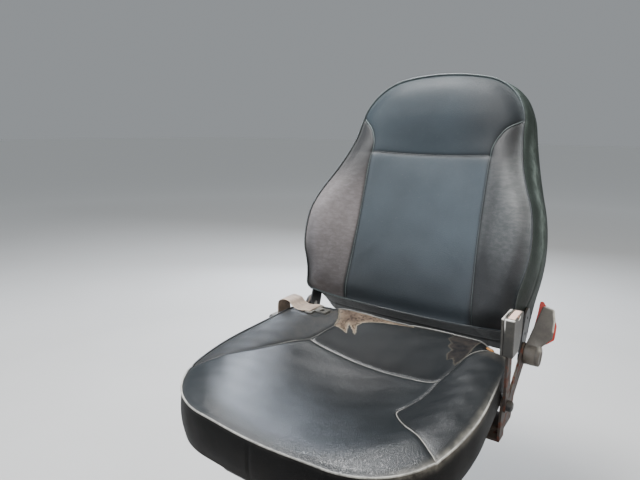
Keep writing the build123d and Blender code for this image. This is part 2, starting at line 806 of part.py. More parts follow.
def belt_webbing():
    """The short stretch of webbing that comes out of the reel and lies on the bolster."""
    mouth_x = -(plate_x + plate_thickness + rail_gap + reel_width / 2)
    rest_z = cushion_crest_z + soft_gap + webbing_thickness / 2
    path = FilletPolyline((mouth_x, reel_y, reel_low_z + reel_height + soft_gap),
                          (mouth_x, reel_y, rest_z + webbing_arch),
                          (mouth_x + webbing_turn, reel_y, rest_z + webbing_arch),
                          (mouth_x + webbing_landing, reel_y, rest_z),
                          (mouth_x + webbing_reach, reel_y, rest_z), radius=webbing_bend)
    section = Plane(origin=path @ 0, x_dir=(0, 1, 0), z_dir=path % 0)
    return sweep(section * Rectangle(webbing_width, webbing_thickness), path)


def belt_tongue():
    """The steel tongue at the webbing's end, with its catch hole."""
    start_x = -(plate_x + plate_thickness + rail_gap + reel_width / 2) + webbing_reach + soft_gap
    outline = Pos(start_x + 9, reel_y) * RectangleRounded(18, webbing_width + 8, 4)
    outline += Pos(start_x + tongue_length / 2, reel_y) * RectangleRounded(tongue_length, 24, 3)
    outline -= Pos(start_x + tongue_length - 14, reel_y) * RectangleRounded(9, 12, 2)
    return Pos(0, 0, cushion_crest_z + soft_gap) * extrude(outline, amount=tongue_thickness)


def belt_reel():
    """The lap belt's reel housing at the sitter's right, with a round cover and a mouth."""
    inner_x = -(plate_x + plate_thickness + rail_gap)
    outer_x = inner_x - reel_width
    high_z = reel_low_z + reel_height
    half = reel_depth / 2
    case = block(outer_x, inner_x, reel_y - half, reel_y + half, reel_low_z, high_z)
    case = fillet(case.faces().sort_by(Axis.X)[0].edges() + case.edges().filter_by(Axis.X),
                  reel_round)
    cover = rod_x(outer_x - reel_cover_length, outer_x, reel_y, (reel_low_z + high_z) / 2,
                  reel_cover_radius)
    cover = chamfer(cover.faces().sort_by(Axis.X)[0].edges(), 2)
    return case + cover


nodes = {
    "base_side_left": base_side(),
    "base_side_right": other_side(base_side()),
    "base_cross_front": base_cross_front(),
    "base_cross_rear": cross_member(0, 1),
    "upper_side_left": side_channel(stack_height - channel_height),
    "upper_side_right": other_side(side_channel(stack_height - channel_height)),
    "upper_cross_front": upper_cross_front(),
    "upper_cross_rear": cross_member(stack_height - channel_height, 1),
    "arm_outer_left": scissor_arm(outer_arm_x, 1),
    "arm_outer_right": other_side(scissor_arm(outer_arm_x, 1)),
    "arm_inner_left": scissor_arm(inner_arm_x, -1),
    "arm_inner_right": other_side(scissor_arm(inner_arm_x, -1)),
    "outer_tube": outer_tube(),
    "inner_tube": inner_tube(),
    "rollers_low": roller_pair(low_pivot_z),
    "rollers_high": roller_pair(high_pivot_z),
    "centre_pins": centre_pins(),
    "spring_left": spring(spring_x),
    "spring_right": spring(-spring_x),
    "spring_yoke": spring_yoke(),
    "adjuster_screw": adjuster_screw(),
    "adjuster_knob": adjuster_knob(),
    "damper_body": damper_body(),
    "damper_rod": damper_rod(),
    "lower_rail_left": lower_rail(),
    "lower_rail_right": other_side(lower_rail()),
    "upper_rail_left": upper_rail(),
    "upper_rail_right": other_side(upper_rail()),
    "seat_pan": seat_pan(),
    "slide_lever": slide_lever(),
    "cushion": cushion(),
    "back_cushion": back_cushion(),
    "back_shell": back_shell(),
    "shaft_low_front": shaft(-pivot_reach, low_pivot_z, base_width / 2, outer_arm_x),
    "shaft_low_rear": shaft(pivot_reach, low_pivot_z, roller_shaft_half, inner_arm_x),
    "shaft_high_front": shaft(-pivot_reach, high_pivot_z, base_width / 2, inner_arm_x),
    "shaft_high_rear": shaft(pivot_reach, high_pivot_z, roller_shaft_half, outer_arm_x),
    "back_arm_left": back_arm(),
    "back_arm_right": other_side(back_arm()),
    "recliner_plate_left": recliner_plate(),
    "recliner_plate_right": other_side(recliner_plate()),
    "hinge_pin_left": hinge_pin(),
    "hinge_pin_right": other_side(hinge_pin()),
    "recliner_cap": other_side(recliner_cap()),
    "recliner_lever": recliner_lever(),
    "recliner_lever_red": red_liner(),
    "anchor_plate": anchor_plate(),
    "anchor_bolt": anchor_bolt(),
    "buckle_stalk": buckle_stalk(),
    "belt_buckle": belt_buckle(),
    "buckle_button": buckle_button(),
    "belt_reel": belt_reel(),
    "belt_webbing": belt_webbing(),
    "belt_tongue": belt_tongue(),
}

os.makedirs("parts", exist_ok=True)
for name, shape in nodes.items():
    export_step(shape, f"parts/{name}.step")
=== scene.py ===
import bmesh
import bpy
import json
import math
import numpy as np
from mathutils import Matrix, Vector


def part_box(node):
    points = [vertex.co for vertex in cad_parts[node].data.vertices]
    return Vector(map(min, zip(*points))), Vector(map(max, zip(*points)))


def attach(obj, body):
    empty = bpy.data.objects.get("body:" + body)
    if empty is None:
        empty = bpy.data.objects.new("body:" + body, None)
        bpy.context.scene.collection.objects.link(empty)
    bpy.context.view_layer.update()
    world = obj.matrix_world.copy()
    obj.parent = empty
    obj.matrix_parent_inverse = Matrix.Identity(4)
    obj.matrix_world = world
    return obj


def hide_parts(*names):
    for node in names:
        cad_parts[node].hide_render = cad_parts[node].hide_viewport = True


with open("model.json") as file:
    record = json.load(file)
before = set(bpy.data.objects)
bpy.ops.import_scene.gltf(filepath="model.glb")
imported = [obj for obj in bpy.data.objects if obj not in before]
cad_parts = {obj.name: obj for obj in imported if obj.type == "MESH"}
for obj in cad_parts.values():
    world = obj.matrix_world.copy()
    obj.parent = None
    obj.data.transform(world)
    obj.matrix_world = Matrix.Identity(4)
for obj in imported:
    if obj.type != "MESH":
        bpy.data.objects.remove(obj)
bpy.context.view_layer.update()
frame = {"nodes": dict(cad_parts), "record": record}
mm = 0.001
print("frame loaded:", len(frame["nodes"]), "nodes")


# Numbers for curves and grids

def arcRun(start, direction, end, count=40):
    # the circle through start that leaves along direction and meets end:
    # centre = start + n * (d.d) / (2 n.d), with n square to direction and d = end - start
    start, end, direction = np.array(start, float), np.array(end, float), np.array(direction, float)
    direction = direction / np.hypot(*direction)
    normal = np.array([-direction[1], direction[0]])
    chord = end - start
    lift = chord @ normal
    if abs(lift) < 1e-9:
        share = np.linspace(0, 1, count)[:, None]
        return start + share * chord, direction
    radius = (chord @ chord) / (2 * lift)
    centre = start + normal * radius
    first = math.atan2(*(start - centre)[::-1])
    last = math.atan2(*(end - centre)[::-1])
    turn = last - first
    if radius > 0 and turn < 0:
        turn += 2 * math.pi
    if radius < 0 and turn > 0:
        turn -= 2 * math.pi
    angle = first + np.linspace(0, turn, count)
    run = centre + abs(radius) * np.stack([np.cos(angle), np.sin(angle)], 1)
    way = np.array([-math.sin(first + turn), math.cos(first + turn)]) * np.sign(turn)
    return run, way


def tangentOutline(corners, direction):
    # arcs through the corners, each tangent to the one before, then the mirror image
    half = [np.array([corners[0]], float)]
    for start, end in zip(corners[:-1], corners[1:]):
        run, direction = arcRun(start, direction, end)
        half.append(run[1:])
    half = np.concatenate(half)
    return np.concatenate([half, half[::-1][:-1] * [-1, 1]])


def evenLoop(points, count, start=0.0):
    # points at equal lengths along a closed run; start is a share of its length
    closed = np.concatenate([points, points[:1]])
    steps = np.sqrt((np.diff(closed, axis=0) ** 2).sum(1))
    length = np.concatenate([[0], np.cumsum(steps)])
    wanted = (np.arange(count) / count + start) % 1 * length[-1]
    return np.stack([np.interp(wanted, length, closed[:, k]) for k in range(closed.shape[1])], 1)


def evenRun(points, count):
    # points at equal lengths along an open run
    steps = np.sqrt((np.diff(points, axis=0) ** 2).sum(1))
    length = np.concatenate([[0], np.cumsum(steps)])
    wanted = np.linspace(0, length[-1], count)
    return np.stack([np.interp(wanted, length, points[:, k]) for k in range(points.shape[1])], 1)


def smoothCurve(corners, count):
    # Catmull-Rom through the corners: half (2b + (c - a)t + (2a - 5b + 4c - d)t2 + (3b - a - 3c + d)t3)
    p = np.array(corners, float)
    p = np.concatenate([[2 * p[0] - p[1]], p, [2 * p[-1] - p[-2]]])
    spans = len(p) - 3
    where = np.linspace(0, spans, 60 * spans + 1)
    span = np.minimum(where.astype(int), spans - 1)
    t = (where - span)[:, None]
    a, b, c, d = p[span], p[span + 1], p[span + 2], p[span + 3]
    run = 0.5 * (2 * b + (c - a) * t + (2 * a - 5 * b + 4 * c - d) * t ** 2
                 + (3 * b - a - 3 * c + d) * t ** 3)
    return evenRun(run, count)


def softLower(a, b, width):
    # smooth minimum: the lower of a and b, rounded where they cross
    mix = np.clip(0.5 + 0.5 * (b - a) / width, 0, 1)
    return b + (a - b) * mix - width * mix * (1 - mix)


def distanceTo(run, x, y):
    # each point's distance to the nearest of a run's pieces, and the share along the run there
    x, y = np.asarray(x, float), np.asarray(y, float)
    best = np.full(x.shape, 1e9)
    share = np.zeros(x.shape)
    pieces = len(run) - 1
    for index in range(pieces):
        ax, ay = run[index]
        bx, by = run[index + 1]
        dx, dy = bx - ax, by - ay
        t = np.clip(((x - ax) * dx + (y - ay) * dy) / max(dx * dx + dy * dy, 1e-12), 0, 1)
        gap = np.hypot(x - ax - t * dx, y - ay - t * dy)
        nearer = gap < best
        best = np.where(nearer, gap, best)
        share = np.where(nearer, (index + t) / pieces, share)
    return best, share


def hill(distance, width):
    # a bell of height 1: exp(-(d / width) squared)
    return np.exp(-(distance / width) ** 2)


def ripple(x, y, waves):
    # a few plane waves added up: sum of size * sin(2 pi (x cos a + y sin a) / length + start)
    total = np.zeros(np.shape(x))
    for size, length, angle, start in waves:
        along = x * math.cos(angle) + y * math.sin(angle)
        total = total + size * np.sin(2 * math.pi * along / length + start)
    return total


# Meshes

def meshPiece(name, points, faces, smooth=True, closed=True):
    mesh = bpy.data.meshes.new(name)
    mesh.from_pydata(points.tolist() if hasattr(points, "tolist") else points, [],
                     faces.tolist() if hasattr(faces, "tolist") else faces)
    mesh.polygons.foreach_set("use_smooth", [smooth] * len(mesh.polygons))
    if closed:
        faceOutwards(mesh)
    mesh.update()
    piece = bpy.data.objects.new(name, mesh)
    bpy.context.scene.collection.objects.link(piece)
    return piece


def faceOutwards(mesh):
    # a closed shell whose signed volume is below zero is inside out, so its faces are reversed
    form = bmesh.new()
    form.from_mesh(mesh)
    if form.calc_volume(signed=True) < 0:
        bmesh.ops.reverse_faces(form, faces=form.faces)
        form.to_mesh(mesh)
    form.free()


def gridFaces(rows, columns, closedColumns=True, closedRows=False):
    # quads between neighbours on a grid of rows by columns
    row = np.arange(rows if closedRows else rows - 1)
    column = np.arange(columns if closedColumns else columns - 1)
    r, c = np.meshgrid(row, column, indexing="ij")
    nextRow, nextColumn = (r + 1) % rows, (c + 1) % columns
    return np.stack([r * columns + c, r * columns + nextColumn,
                     nextRow * columns + nextColumn, nextRow * columns + c], -1).reshape(-1, 4)


def capFaces(first, columns, pole, flip):
    # a fan from a ring of a grid to its pole
    column = np.arange(columns)
    ring, other = first + column, first + (column + 1) % columns
    fan = np.stack([ring, other, np.full(columns, pole)], 1)
    return fan[:, ::-1] if flip else fan


def shellPiece(name, rings, topPole, lowPole):
    # rings is rows x columns x 3 from the top pole outwards, over the rim and to the low pole
    rows, columns = rings.shape[:2]
    points = np.concatenate([rings.reshape(-1, 3), [topPole, lowPole]])
    quads = gridFaces(rows, columns)[:, ::-1]
    fanTop = capFaces(0, columns, rows * columns, False)
    fanLow = capFaces((rows - 1) * columns, columns, rows * columns + 1, True)
    return meshPiece(name, points, quads.tolist() + fanTop.tolist() + fanLow.tolist())


def pathFrames(path, closed):
    # tangents by differences
    ahead = np.roll(path, -1, 0) if closed else np.concatenate([path[1:], path[-1:]])
    behind = np.roll(path, 1, 0) if closed else np.concatenate([path[:1], path[:-1]])
    tangent = ahead - behind
    tangent /= np.linalg.norm(tangent, axis=1)[:, None]
    return tangent


def tubePiece(name, path, radius, sides=10, closed=False, up=(0, 0, 1), flat=1.0, lift=None):
    # p(s, a) = path(s) + radius (cos a * side + flat sin a * top), side = tangent x up
    path = np.array(path, float)
    radius = np.broadcast_to(np.asarray(radius, float), (len(path),))
    tangent = pathFrames(path, closed)
    up = np.broadcast_to(np.asarray(up, float), path.shape)
    side = np.cross(tangent, up)
    side /= np.maximum(np.linalg.norm(side, axis=1), 1e-9)[:, None]
    top = np.cross(side, tangent)
    if lift is not None:
        path = path + top * lift
    angle = np.arange(sides) / sides * 2 * math.pi
    ring = (np.cos(angle)[None, :, None] * side[:, None, :]
            + flat * np.sin(angle)[None, :, None] * top[:, None, :])
    points = (path[:, None, :] + radius[:, None, None] * ring).reshape(-1, 3)
    quads = gridFaces(len(path), sides, True, closed)[:, ::-1]
    faces = quads.tolist()
    if not closed:
        ends = [path[0], path[-1]]
        points = np.concatenate([points, ends])
        faces += capFaces(0, sides, len(points) - 2, False).tolist()
        faces += capFaces((len(path) - 1) * sides, sides, len(points) - 1, True).tolist()
    piece = meshPiece(name, points, faces)
    addRunMap(piece, path, sides, closed)
    return piece


def addRunMap(piece, path, sides, closed):
    # an attribute with the length along the path at each point, in metres
    steps = np.sqrt((np.diff(path, axis=0) ** 2).sum(1))
    length = np.concatenate([[0], np.cumsum(steps)])
    values = np.repeat(length, sides)
    extra = len(piece.data.vertices) - len(values)
    values = np.concatenate([values, np.array([0, length[-1]])[:extra]])
    saveField(piece, "runLength", values)


def saveField(piece, name, values):
    field = piece.data.attributes.new(name, "FLOAT", "POINT")
    field.data.foreach_set("value", np.asarray(values, np.float32))


def joinPieces(name, pieces):
    # several meshes as one piece, in the first one's place
    bpy.ops.object.select_all(action="DESELECT")
    for piece in pieces:
        piece.select_set(True)
    bpy.context.view_layer.objects.active = pieces[0]
    bpy.ops.object.join()
    pieces[0].name = name
    pieces[0].data.name = name
    return pieces[0]


def profilePiece(name, profile, origin, axis, sides=48):
    # a turned form: rows of (along, radius) carried round an axis through origin
    profile = np.array(profile, float)
    axis = np.array(axis, float) / np.linalg.norm(axis)
    helper = np.array([0, 0, 1.0]) if abs(axis[2]) < 0.9 else np.array([1.0, 0, 0])
    first = np.cross(helper, axis)
    first /= np.linalg.norm(first)
    second = np.cross(axis, first)
    angle = np.arange(sides) / sides * 2 * math.pi
    ring = np.cos(angle)[:, None] * first + np.sin(angle)[:, None] * second
    points = (np.array(origin) + profile[:, 0, None, None] * axis
              + profile[:, 1, None, None] * ring[None])
    points = points.reshape(-1, 3)
    ends = [np.array(origin) + profile[0, 0] * axis, np.array(origin) + profile[-1, 0] * axis]
    points = np.concatenate([points, ends])
    faces = gridFaces(len(profile), sides).tolist()
    faces += capFaces(0, sides, len(points) - 2, True).tolist()
    faces += capFaces((len(profile) - 1) * sides, sides, len(points) - 1, False).tolist()
    return meshPiece(name, points, faces)


def roundedLoop(corners, radius, steps=6):
    # each corner becomes an arc tangent to both edges: with half the corner's angle h, the
    # centre lies radius / sin h along the bisector and the arc starts radius / tan h away
    points = np.array(corners, float)
    before, after = np.roll(points, 1, 0) - points, np.roll(points, -1, 0) - points
    sizes = [np.linalg.norm(edge, axis=1)[:, None] for edge in (before, after)]
    a, b = before / sizes[0], after / sizes[1]
    half = np.arccos(np.clip((a * b).sum(1), -1, 1))[:, None] / 2
    reach = np.minimum(radius / np.tan(half), 0.48 * np.minimum(*sizes))
    bisector = (a + b) / np.maximum(np.linalg.norm(a + b, axis=1)[:, None], 1e-9)
    centre = points + bisector * reach / np.cos(half)
    first, last = points + a * reach - centre, points + b * reach - centre
    turn = np.maximum(math.pi - 2 * half, 1e-4)[..., None]
    t = np.linspace(0, 1, steps + 1)[None, :, None]
    arcs = (np.sin((1 - t) * turn) * first[:, None] + np.sin(t * turn) * last[:, None]) / np.sin(turn)
    return (centre[:, None] + arcs).reshape(-1, 2)


def slabPiece(name, loop, depth, bevel, place, steps=4):
    # an outline drawn out to a depth, its edges rounded: at angle a the outline lies bevel (1 - sin a) further in and
    # bevel (1 - cos a) below the face; fine outlines get a point every 1.5 mm and a ring beside each rounded edge, so
    # that a pale edge (wear, and on the buckle also a painted highlight) can follow it
    loop = np.array(loop, float)
    if bevel:
        perimeter = np.linalg.norm(np.roll(loop, -1, 0) - loop, axis=1).sum()
        loop = evenLoop(loop, max(24, int(perimeter / 1.5)))
    ahead = np.roll(loop, -1, 0) - np.roll(loop, 1, 0)
    inward = np.stack([-ahead[:, 1], ahead[:, 0]], 1) / np.linalg.norm(ahead, axis=1)[:, None]
    after = np.roll(loop, -1, 0)
    inward *= np.sign((loop[:, 0] * after[:, 1] - after[:, 0] * loop[:, 1]).sum())
    angle = np.linspace(0, math.pi / 2, steps + 1)
    inset, drop = bevel * (1 - np.sin(angle)), bevel * (1 - np.cos(angle))
    margin = bevel + min(1.6, 0.2 * depth)
    inset = np.concatenate([[margin], inset, [0, 0], inset[::-1], [margin]])
    drop = np.concatenate([[0], drop, [margin, depth - margin], depth - drop[::-1], [depth]])
    if not bevel:
        inset, drop = np.zeros(2), np.array([0, depth])
    rows = np.empty((len(inset), len(loop), 3))
    rows[..., :2] = loop + inset[:, None, None] * inward
    rows[..., 2] = drop[:, None]
    columns = len(loop)
    faces = gridFaces(len(rows), columns).tolist()
    faces += [list(range(columns))[::-1], list(range((len(rows) - 1) * columns, len(rows) * columns))]
    piece = meshPiece(name, place(rows).reshape(-1, 3) * mm, faces)
    flats = np.ones(len(faces), bool)
    flats[-2:] = False
    if bevel:
        flats[:columns] = flats[-2 - columns:] = False
    piece.data.polygons.foreach_set("use_smooth", flats)
    return piece


def combine(piece, other, operation):
    # the boolean of two closed forms, kept as the first one's mesh
    step = piece.modifiers.new("form", "BOOLEAN")
    step.operation, step.solver, step.object = operation, "EXACT", other
    shaped = piece.evaluated_get(bpy.context.evaluated_depsgraph_get())
    mesh = bpy.data.meshes.new_from_object(shaped)
    piece.modifiers.clear()
    piece.data = mesh
    mesh.name = piece.name
    bpy.data.objects.remove(other, do_unlink=True)
    return piece


def meshPoints(piece):
    values = np.empty(len(piece.data.vertices) * 3)
    piece.data.vertices.foreach_get("co", values)
    return values.reshape(-1, 3)


def finishPiece(piece, body, material, hides=()):
    piece.data.materials.clear()
    piece.data.materials.append(material)
    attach(piece, body)
    if hides:
        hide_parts(*hides)
    return piece


# Materials

def linear(code, alpha=True):
    # sRGB hex to linear: c / 12.92 below 0.04045, else ((c + 0.055) / 1.055) ^ 2.4
    parts = [int(code.lstrip("#")[k:k + 2], 16) / 255 for k in (0, 2, 4)]
    values = [p / 12.92 if p <= 0.04045 else ((p + 0.055) / 1.055) ** 2.4 for p in parts]
    return (*values, 1.0) if alpha else tuple(values)


def addNode(tree, kind, settings=None, **links):
    # one node with its settings; a link's value is a socket, a number or a colour
    node = tree.nodes.new(kind)
    for key, value in (settings or {}).items():
        setattr(node, key, value)
    for key, value in links.items():
        name = key.replace("_", " ")
        sockets = [s for s in node.inputs if s.name == name and s.enabled] or [node.inputs[int(key[1:])]]
        socket = sockets[0]
        if hasattr(value, "is_output"):
            tree.links.new(value, socket)
        else:
            socket.default_value = value
    return node


print("tools ready")


# Upholstery forms, both built on rings: from the middle of the face out to the piping,
# over the side and in to the middle of the hidden face

def rise(value, low, high):
    # smooth step: 3t2 - 2t3 with t = (value - low) / (high - low) held between 0 and 1
    t = np.clip((np.asarray(value, float) - low) / (high - low), 0, 1)
    return t * t * (3 - 2 * t)


def circleThrough(a, b, c):
    # centre and radius of the circle through three points, from equal squared distances
    a, b, c = (np.array(p, float) for p in (a, b, c))
    left = 2 * np.array([b - a, c - a])
    right = np.array([b @ b - a @ a, c @ c - a @ a])
    centre = np.linalg.solve(left, right)
    return centre, np.hypot(*(a - centre))


def polarRadius(loop, centre, angle):
    # how far a closed loop lies from centre at each angle
    gap = loop - np.array(centre)
    own = np.arctan2(gap[:, 1], gap[:, 0])
    order = np.argsort(own)
    return np.interp(angle, own[order], np.hypot(*gap[order].T), period=2 * math.pi)


def columnAt(loop, centre, angle):
    # the grid column, with its fraction, that lies at each angle about the centre
    own = np.unwrap(np.arctan2(*(loop - centre).T[::-1]))
    turn = 1 if own[-1] > own[0] else -1
    own = np.append(turn * (own - own[0]), 2 * math.pi)
    first = math.atan2(*(loop[0] - centre)[::-1])
    return np.interp((turn * (angle - first)) % (2 * math.pi), own, np.arange(len(own)))


def readGrid(grid, row, column):
    # bilinear reading of a grid whose columns close on themselves
    rows, columns = grid.shape[:2]
    r0 = np.clip(np.floor(row).astype(int), 0, rows - 2)
    c0 = np.floor(column).astype(int)
    fr, fc = row - r0, column - c0
    if grid.ndim == 3:
        fr, fc = fr[..., None], fc[..., None]
    a, b = grid[r0, c0 % columns], grid[r0, (c0 + 1) % columns]
    c, d = grid[r0 + 1, c0 % columns], grid[r0 + 1, (c0 + 1) % columns]
    return (1 - fr) * ((1 - fc) * a + fc * b) + fr * ((1 - fc) * c + fc * d)


def gridNormals(rings):
    # cross product of the differences along rows and columns, pointing out of the shell
    along = np.gradient(rings, axis=0)
    around = np.roll(rings, -1, 1) - np.roll(rings, 1, 1)
    normal = np.cross(along, around)
    normal = normal / np.maximum(np.linalg.norm(normal, axis=2, keepdims=True), 1e-12)
    outward = ((rings - rings.reshape(-1, 3).mean(0)) * normal).sum()
    return normal * np.sign(outward)


def inflate(rings, topPole, lowPole, held, settings):
    # cloth simulation of the closed cover under air pressure, held along its seams;
    # returns how far each grid point moves along its own normal, in metres, capped
    rows, columns = rings.shape[:2]
    trial = shellPiece("coverTrial", rings, topPole, lowPole)
    group = trial.vertex_groups.new(name="held")
    weights = np.concatenate([held.ravel(), [0.0, 1.0]])
    for level in np.unique(np.round(weights, 1)):
        members = np.flatnonzero(np.round(weights, 1) == level)
        group.add(members.tolist(), float(level), "REPLACE")
    cloth = trial.modifiers.new("cloth", "CLOTH")
    cloth.settings.quality = 6
    cloth.settings.mass = settings["mass"]
    cloth.settings.tension_stiffness = settings["stretch"]
    cloth.settings.compression_stiffness = settings["stretch"]
    cloth.settings.shear_stiffness = settings["shear"]
    cloth.settings.bending_stiffness = settings["bend"]
    cloth.settings.use_pressure = True
    cloth.settings.uniform_pressure_force = settings["pressure"]
    cloth.settings.effector_weights.gravity = 0
    cloth.settings.vertex_group_mass = "held"
    cloth.settings.pin_stiffness = 5
    cloth.collision_settings.use_collision = False
    scene = bpy.context.scene
    for step in range(1, 21):
        scene.frame_set(step)
    shaped = trial.evaluated_get(bpy.context.evaluated_depsgraph_get())
    moved = np.empty(len(shaped.data.vertices) * 3)
    shaped.data.vertices.foreach_get("co", moved)
    moved = moved.reshape(-1, 3)[:rows * columns].reshape(rows, columns, 3)
    scene.frame_set(1)
    bpy.data.objects.remove(trial, do_unlink=True)
    lift = ((moved - rings) * gridNormals(rings)).sum(2)
    lift = np.clip(lift, -settings["cap"], settings["cap"])
    for turn in range(6):
        lift = 0.5 * lift + 0.25 * (np.roll(lift, 1, 1) + np.roll(lift, -1, 1))
        lift[1:-1] = 0.5 * lift[1:-1] + 0.25 * (lift[2:] + lift[:-2])
    inner = settings["poleRings"]
    calm = 1 - rise(np.arange(len(lift)), 0.3 * inner, inner)[:, None]
    even = lift[inner].mean()
    return lift + calm * (even - lift)


def carryLift(lift, coarse, fine, columns):
    # the coarse grid's lift read at the finer grid's rings and columns
    row = np.interp(fine, coarse, np.arange(len(coarse)))
    column = np.arange(columns) / columns * lift.shape[1]
    r, c = np.meshgrid(row, column, indexing="ij")
    wide = readGrid(lift, r, c)
    for turn in range(6):
        wide = 0.5 * wide + 0.25 * (np.roll(wide, 1, 1) + np.roll(wide, -1, 1))
        wide[1:-1] = 0.5 * wide[1:-1] + 0.25 * (wide[2:] + wide[:-2])
    return wide


# Seat cushion

cushion = {
    "outline": [(0, -288), (110, -284.5), (205, -235), (232, -180), (244, -40), (236, 84), (160, 160)],
    "centre": (0, -66),
    "frontTop": (-289, 341),
    "crest": (120, 370),
    "dish": [(-288, 341), (-10, 316), (160, 370)],
    "dishRadius": 424,
    "lowZ": 259.6,
    "skirtFront": 268,
    "skirtRear": 308,
    "tuck": 32,
    "crown": 4.5,
    "rimFall": 2.5,
    "frontJoin": -9,
    "dentX": (-236, -140),
    "dentY": (81, 143),
    "dentZ": 369.6,
    "leftTear": [(-150, 164), (-124, 124), (-114, 106), (-111, 86), (-95, 85), (-79, 80), (-88, 105), (-78, 99),
                 (-60, 84), (-71, 108), (-66, 121), (-52, 132), (-30, 144), (2, 152), (34, 156), (30, 164)],
    "rightTear": [(141, 60), (151, 64), (161, 44), (169, 76), (172, 128), (170, 162), (112, 162), (124, 140),
                  (119, 126), (131, 112), (128, 100), (140, 90), (136, 76)],
    "crossSeam": [(-130, 24), (-91, 23), (-27, 22), (35, 17), (94, 9), (136, 0), (152, 2)],
    "leftSeam": [(-228, -196), (-205, -150), (-184, -100), (-168, -53), (-150, -8), (-130, 24), (-119, 60),
                 (-111, 90), (-114, 112), (-134, 138), (-160, 156)],
    "rightSeam": [(228, -197), (196, -172), (163, -148), (134, -116), (124, -98), (132, -80), (146, -42),
                  (152, 2), (164, 36), (170, 76), (180, 104), (206, 128)],
}


def cushionTop(x, y):
    # the lower of the side profile and the dish, rounded where they meet, in millimetres:
    # dish z = z0 - sqrt((R - D + sqrt(D2 - x2))2 - (y - y0)2)
    (y0, z0), ringRadius = circleThrough(*cushion["dish"])
    cross = cushion["dishRadius"]
    (fy, fz), (cy, cz) = cushion["frontTop"], cushion["crest"]
    slope = np.minimum(fz + (cz - fz) * (y - fy) / (cy - fy), cz)
    reach = ringRadius - cross + np.sqrt(cross ** 2 - x ** 2)
    dish = z0 - np.sqrt(np.maximum(reach ** 2 - (y - y0) ** 2, 0))
    top = softLower(slope, dish, 12)
    top = top - 12 * rise(y, 116, 146) * rise(x, 165, 205)
    top = top - 9 * rise(y, 138, 158) * rise(-x, 130, 170)
    return top


def cushionSeams():
    return {name: smoothCurve(cushion[name], 70) for name in ("crossSeam", "leftSeam", "rightSeam")}


def insideBy(corners, x, y):
    # how far inside a closed outline each point lies, below zero outside: the distance to the
    # outline, with its sign from counting the edges that a line to the right crosses
    ring = np.array(corners + corners[:1], float)
    gap = distanceTo(ring, x, y)[0]
    crossings = np.zeros(np.shape(x), int)
    for (ax, ay), (bx, by) in zip(ring[:-1], ring[1:]):
        between = (ay > y) != (by > y)
        reach = ax + (y - ay) * (bx - ax) / (by - ay if by != ay else 1e-9)
        crossings += between & (x < reach)
    return np.where(crossings % 2 == 1, gap, -gap)


def seamDepth(x, y, seams, soft=6, deep=1.0, crease=1.3):
    # two bells across each seam: a wide pull in the foam and a narrow crease
    depth = np.zeros(np.shape(x))
    for run in seams.values():
        gap, share = distanceTo(run, x, y)
        depth = np.maximum(depth, deep * hill(gap, soft) + crease * hill(gap, 2.6))
    return depth


def cushionRings(columns, topShares, sideShares, lowShares, details=True):
    # rings of the cover: middle + share * (outline - middle), then down the side, then inwards
    outline = tangentOutline(cushion["outline"], (1, 0))
    outline = evenLoop(outline, columns)
    middle = np.array(cushion["centre"], float)
    ahead = np.roll(outline, -1, 0) - np.roll(outline, 1, 0)
    outward = np.stack([-ahead[:, 1], ahead[:, 0]], 1)
    outward *= -np.sign((outward * (middle - outline)).sum(1))[:, None]
    outward /= np.linalg.norm(outward, axis=1)[:, None]
    share = np.asarray(topShares)[:, None, None]
    plan = middle + share * (outline - middle)
    x, y = plan[..., 0], plan[..., 1]
    z = cushionTop(x, y)
    edge = (1 - share[..., 0]) * np.linalg.norm(outline - middle, axis=1)
    z = z + cushion["crown"] * (1 - hill(edge, 24)) - cushion["rimFall"] * hill(edge, 7)
    if details:
        z = z - seamDepth(x, y, cushionSeams())
        for key, deep in (("leftTear", 2.2), ("rightTear", 1.2)):
            torn = rise(insideBy(cushion[key], x, y), -1, 9)
            z = z - torn * (deep + ripple(x, y, [(0.5, 19, 1.1, 0.3), (0.35, 11, 2.5, 1.4)]))
        z = z + cushionWrinkles(x, y) * (1 - hill(edge, 16))
    top = np.stack([x, y, z], -1)
    rimZ = top[-1, :, 2]
    sidewards = rise(np.abs(outward[:, 0]), 0.35, 0.9)
    forward = (outline[:, 1] + 288) / 448
    edgeZ = cushion["skirtFront"] + sidewards * (cushion["skirtRear"] - cushion["skirtFront"]) * forward
    tuck = 7 + (cushion["tuck"] - 7) * sidewards
    t = np.asarray(sideShares)[:, None]
    wall = np.clip(t / 0.6, 0, 1)
    under = np.clip((t - 0.6) / 0.4, 0, 1)
    height = rimZ + (edgeZ - rimZ) * wall + (cushion["lowZ"] - edgeZ) * under
    out = 3.0 * np.sin(math.pi * wall) - 1.5 * hill(wall - 1, 0.16) - tuck * under ** 1.15
    side = np.empty((len(sideShares), columns, 3))
    side[..., :2] = outline + out[..., None] * outward
    side[..., 2] = height
    if details:
        side[..., :2] += skirtWrinkles(side, wall)[..., None] * outward
        join = hill(side[..., 0] - cushion["frontJoin"], 2.6) * (side[..., 1] < 0) * np.sin(math.pi * wall)
        side[..., 1] += 1.8 * join
    last = side[-1, :, :2]
    share = np.asarray(lowShares)[:, None, None]
    low = np.empty((len(lowShares), columns, 3))
    low[..., :2] = middle + share * (last - middle)
    low[..., 2] = cushion["lowZ"]
    return np.concatenate([top, side, low]), middle


def cushionWrinkles(x, y):
    # slack in the cover: long shallow waves, stronger over the bolsters, and sitting creases
    side = rise(np.abs(x), 120, 190)
    waves = ripple(x, y, [(0.2, 71, 0.4, 0.3), (0.12, 43, 1.9, 1.1), (0.28, 103, 1.1, 2.0)])
    waves = waves + side * ripple(x, y, [(0.2, 41, 0.9, 0.2), (0.13, 29, 2.3, 1.7)])
    bone = hill(np.hypot((x - 62) / 1.3, y + 60), 62) + hill(np.hypot((x + 62) / 1.3, y + 60), 62)
    return waves - 1.6 * bone


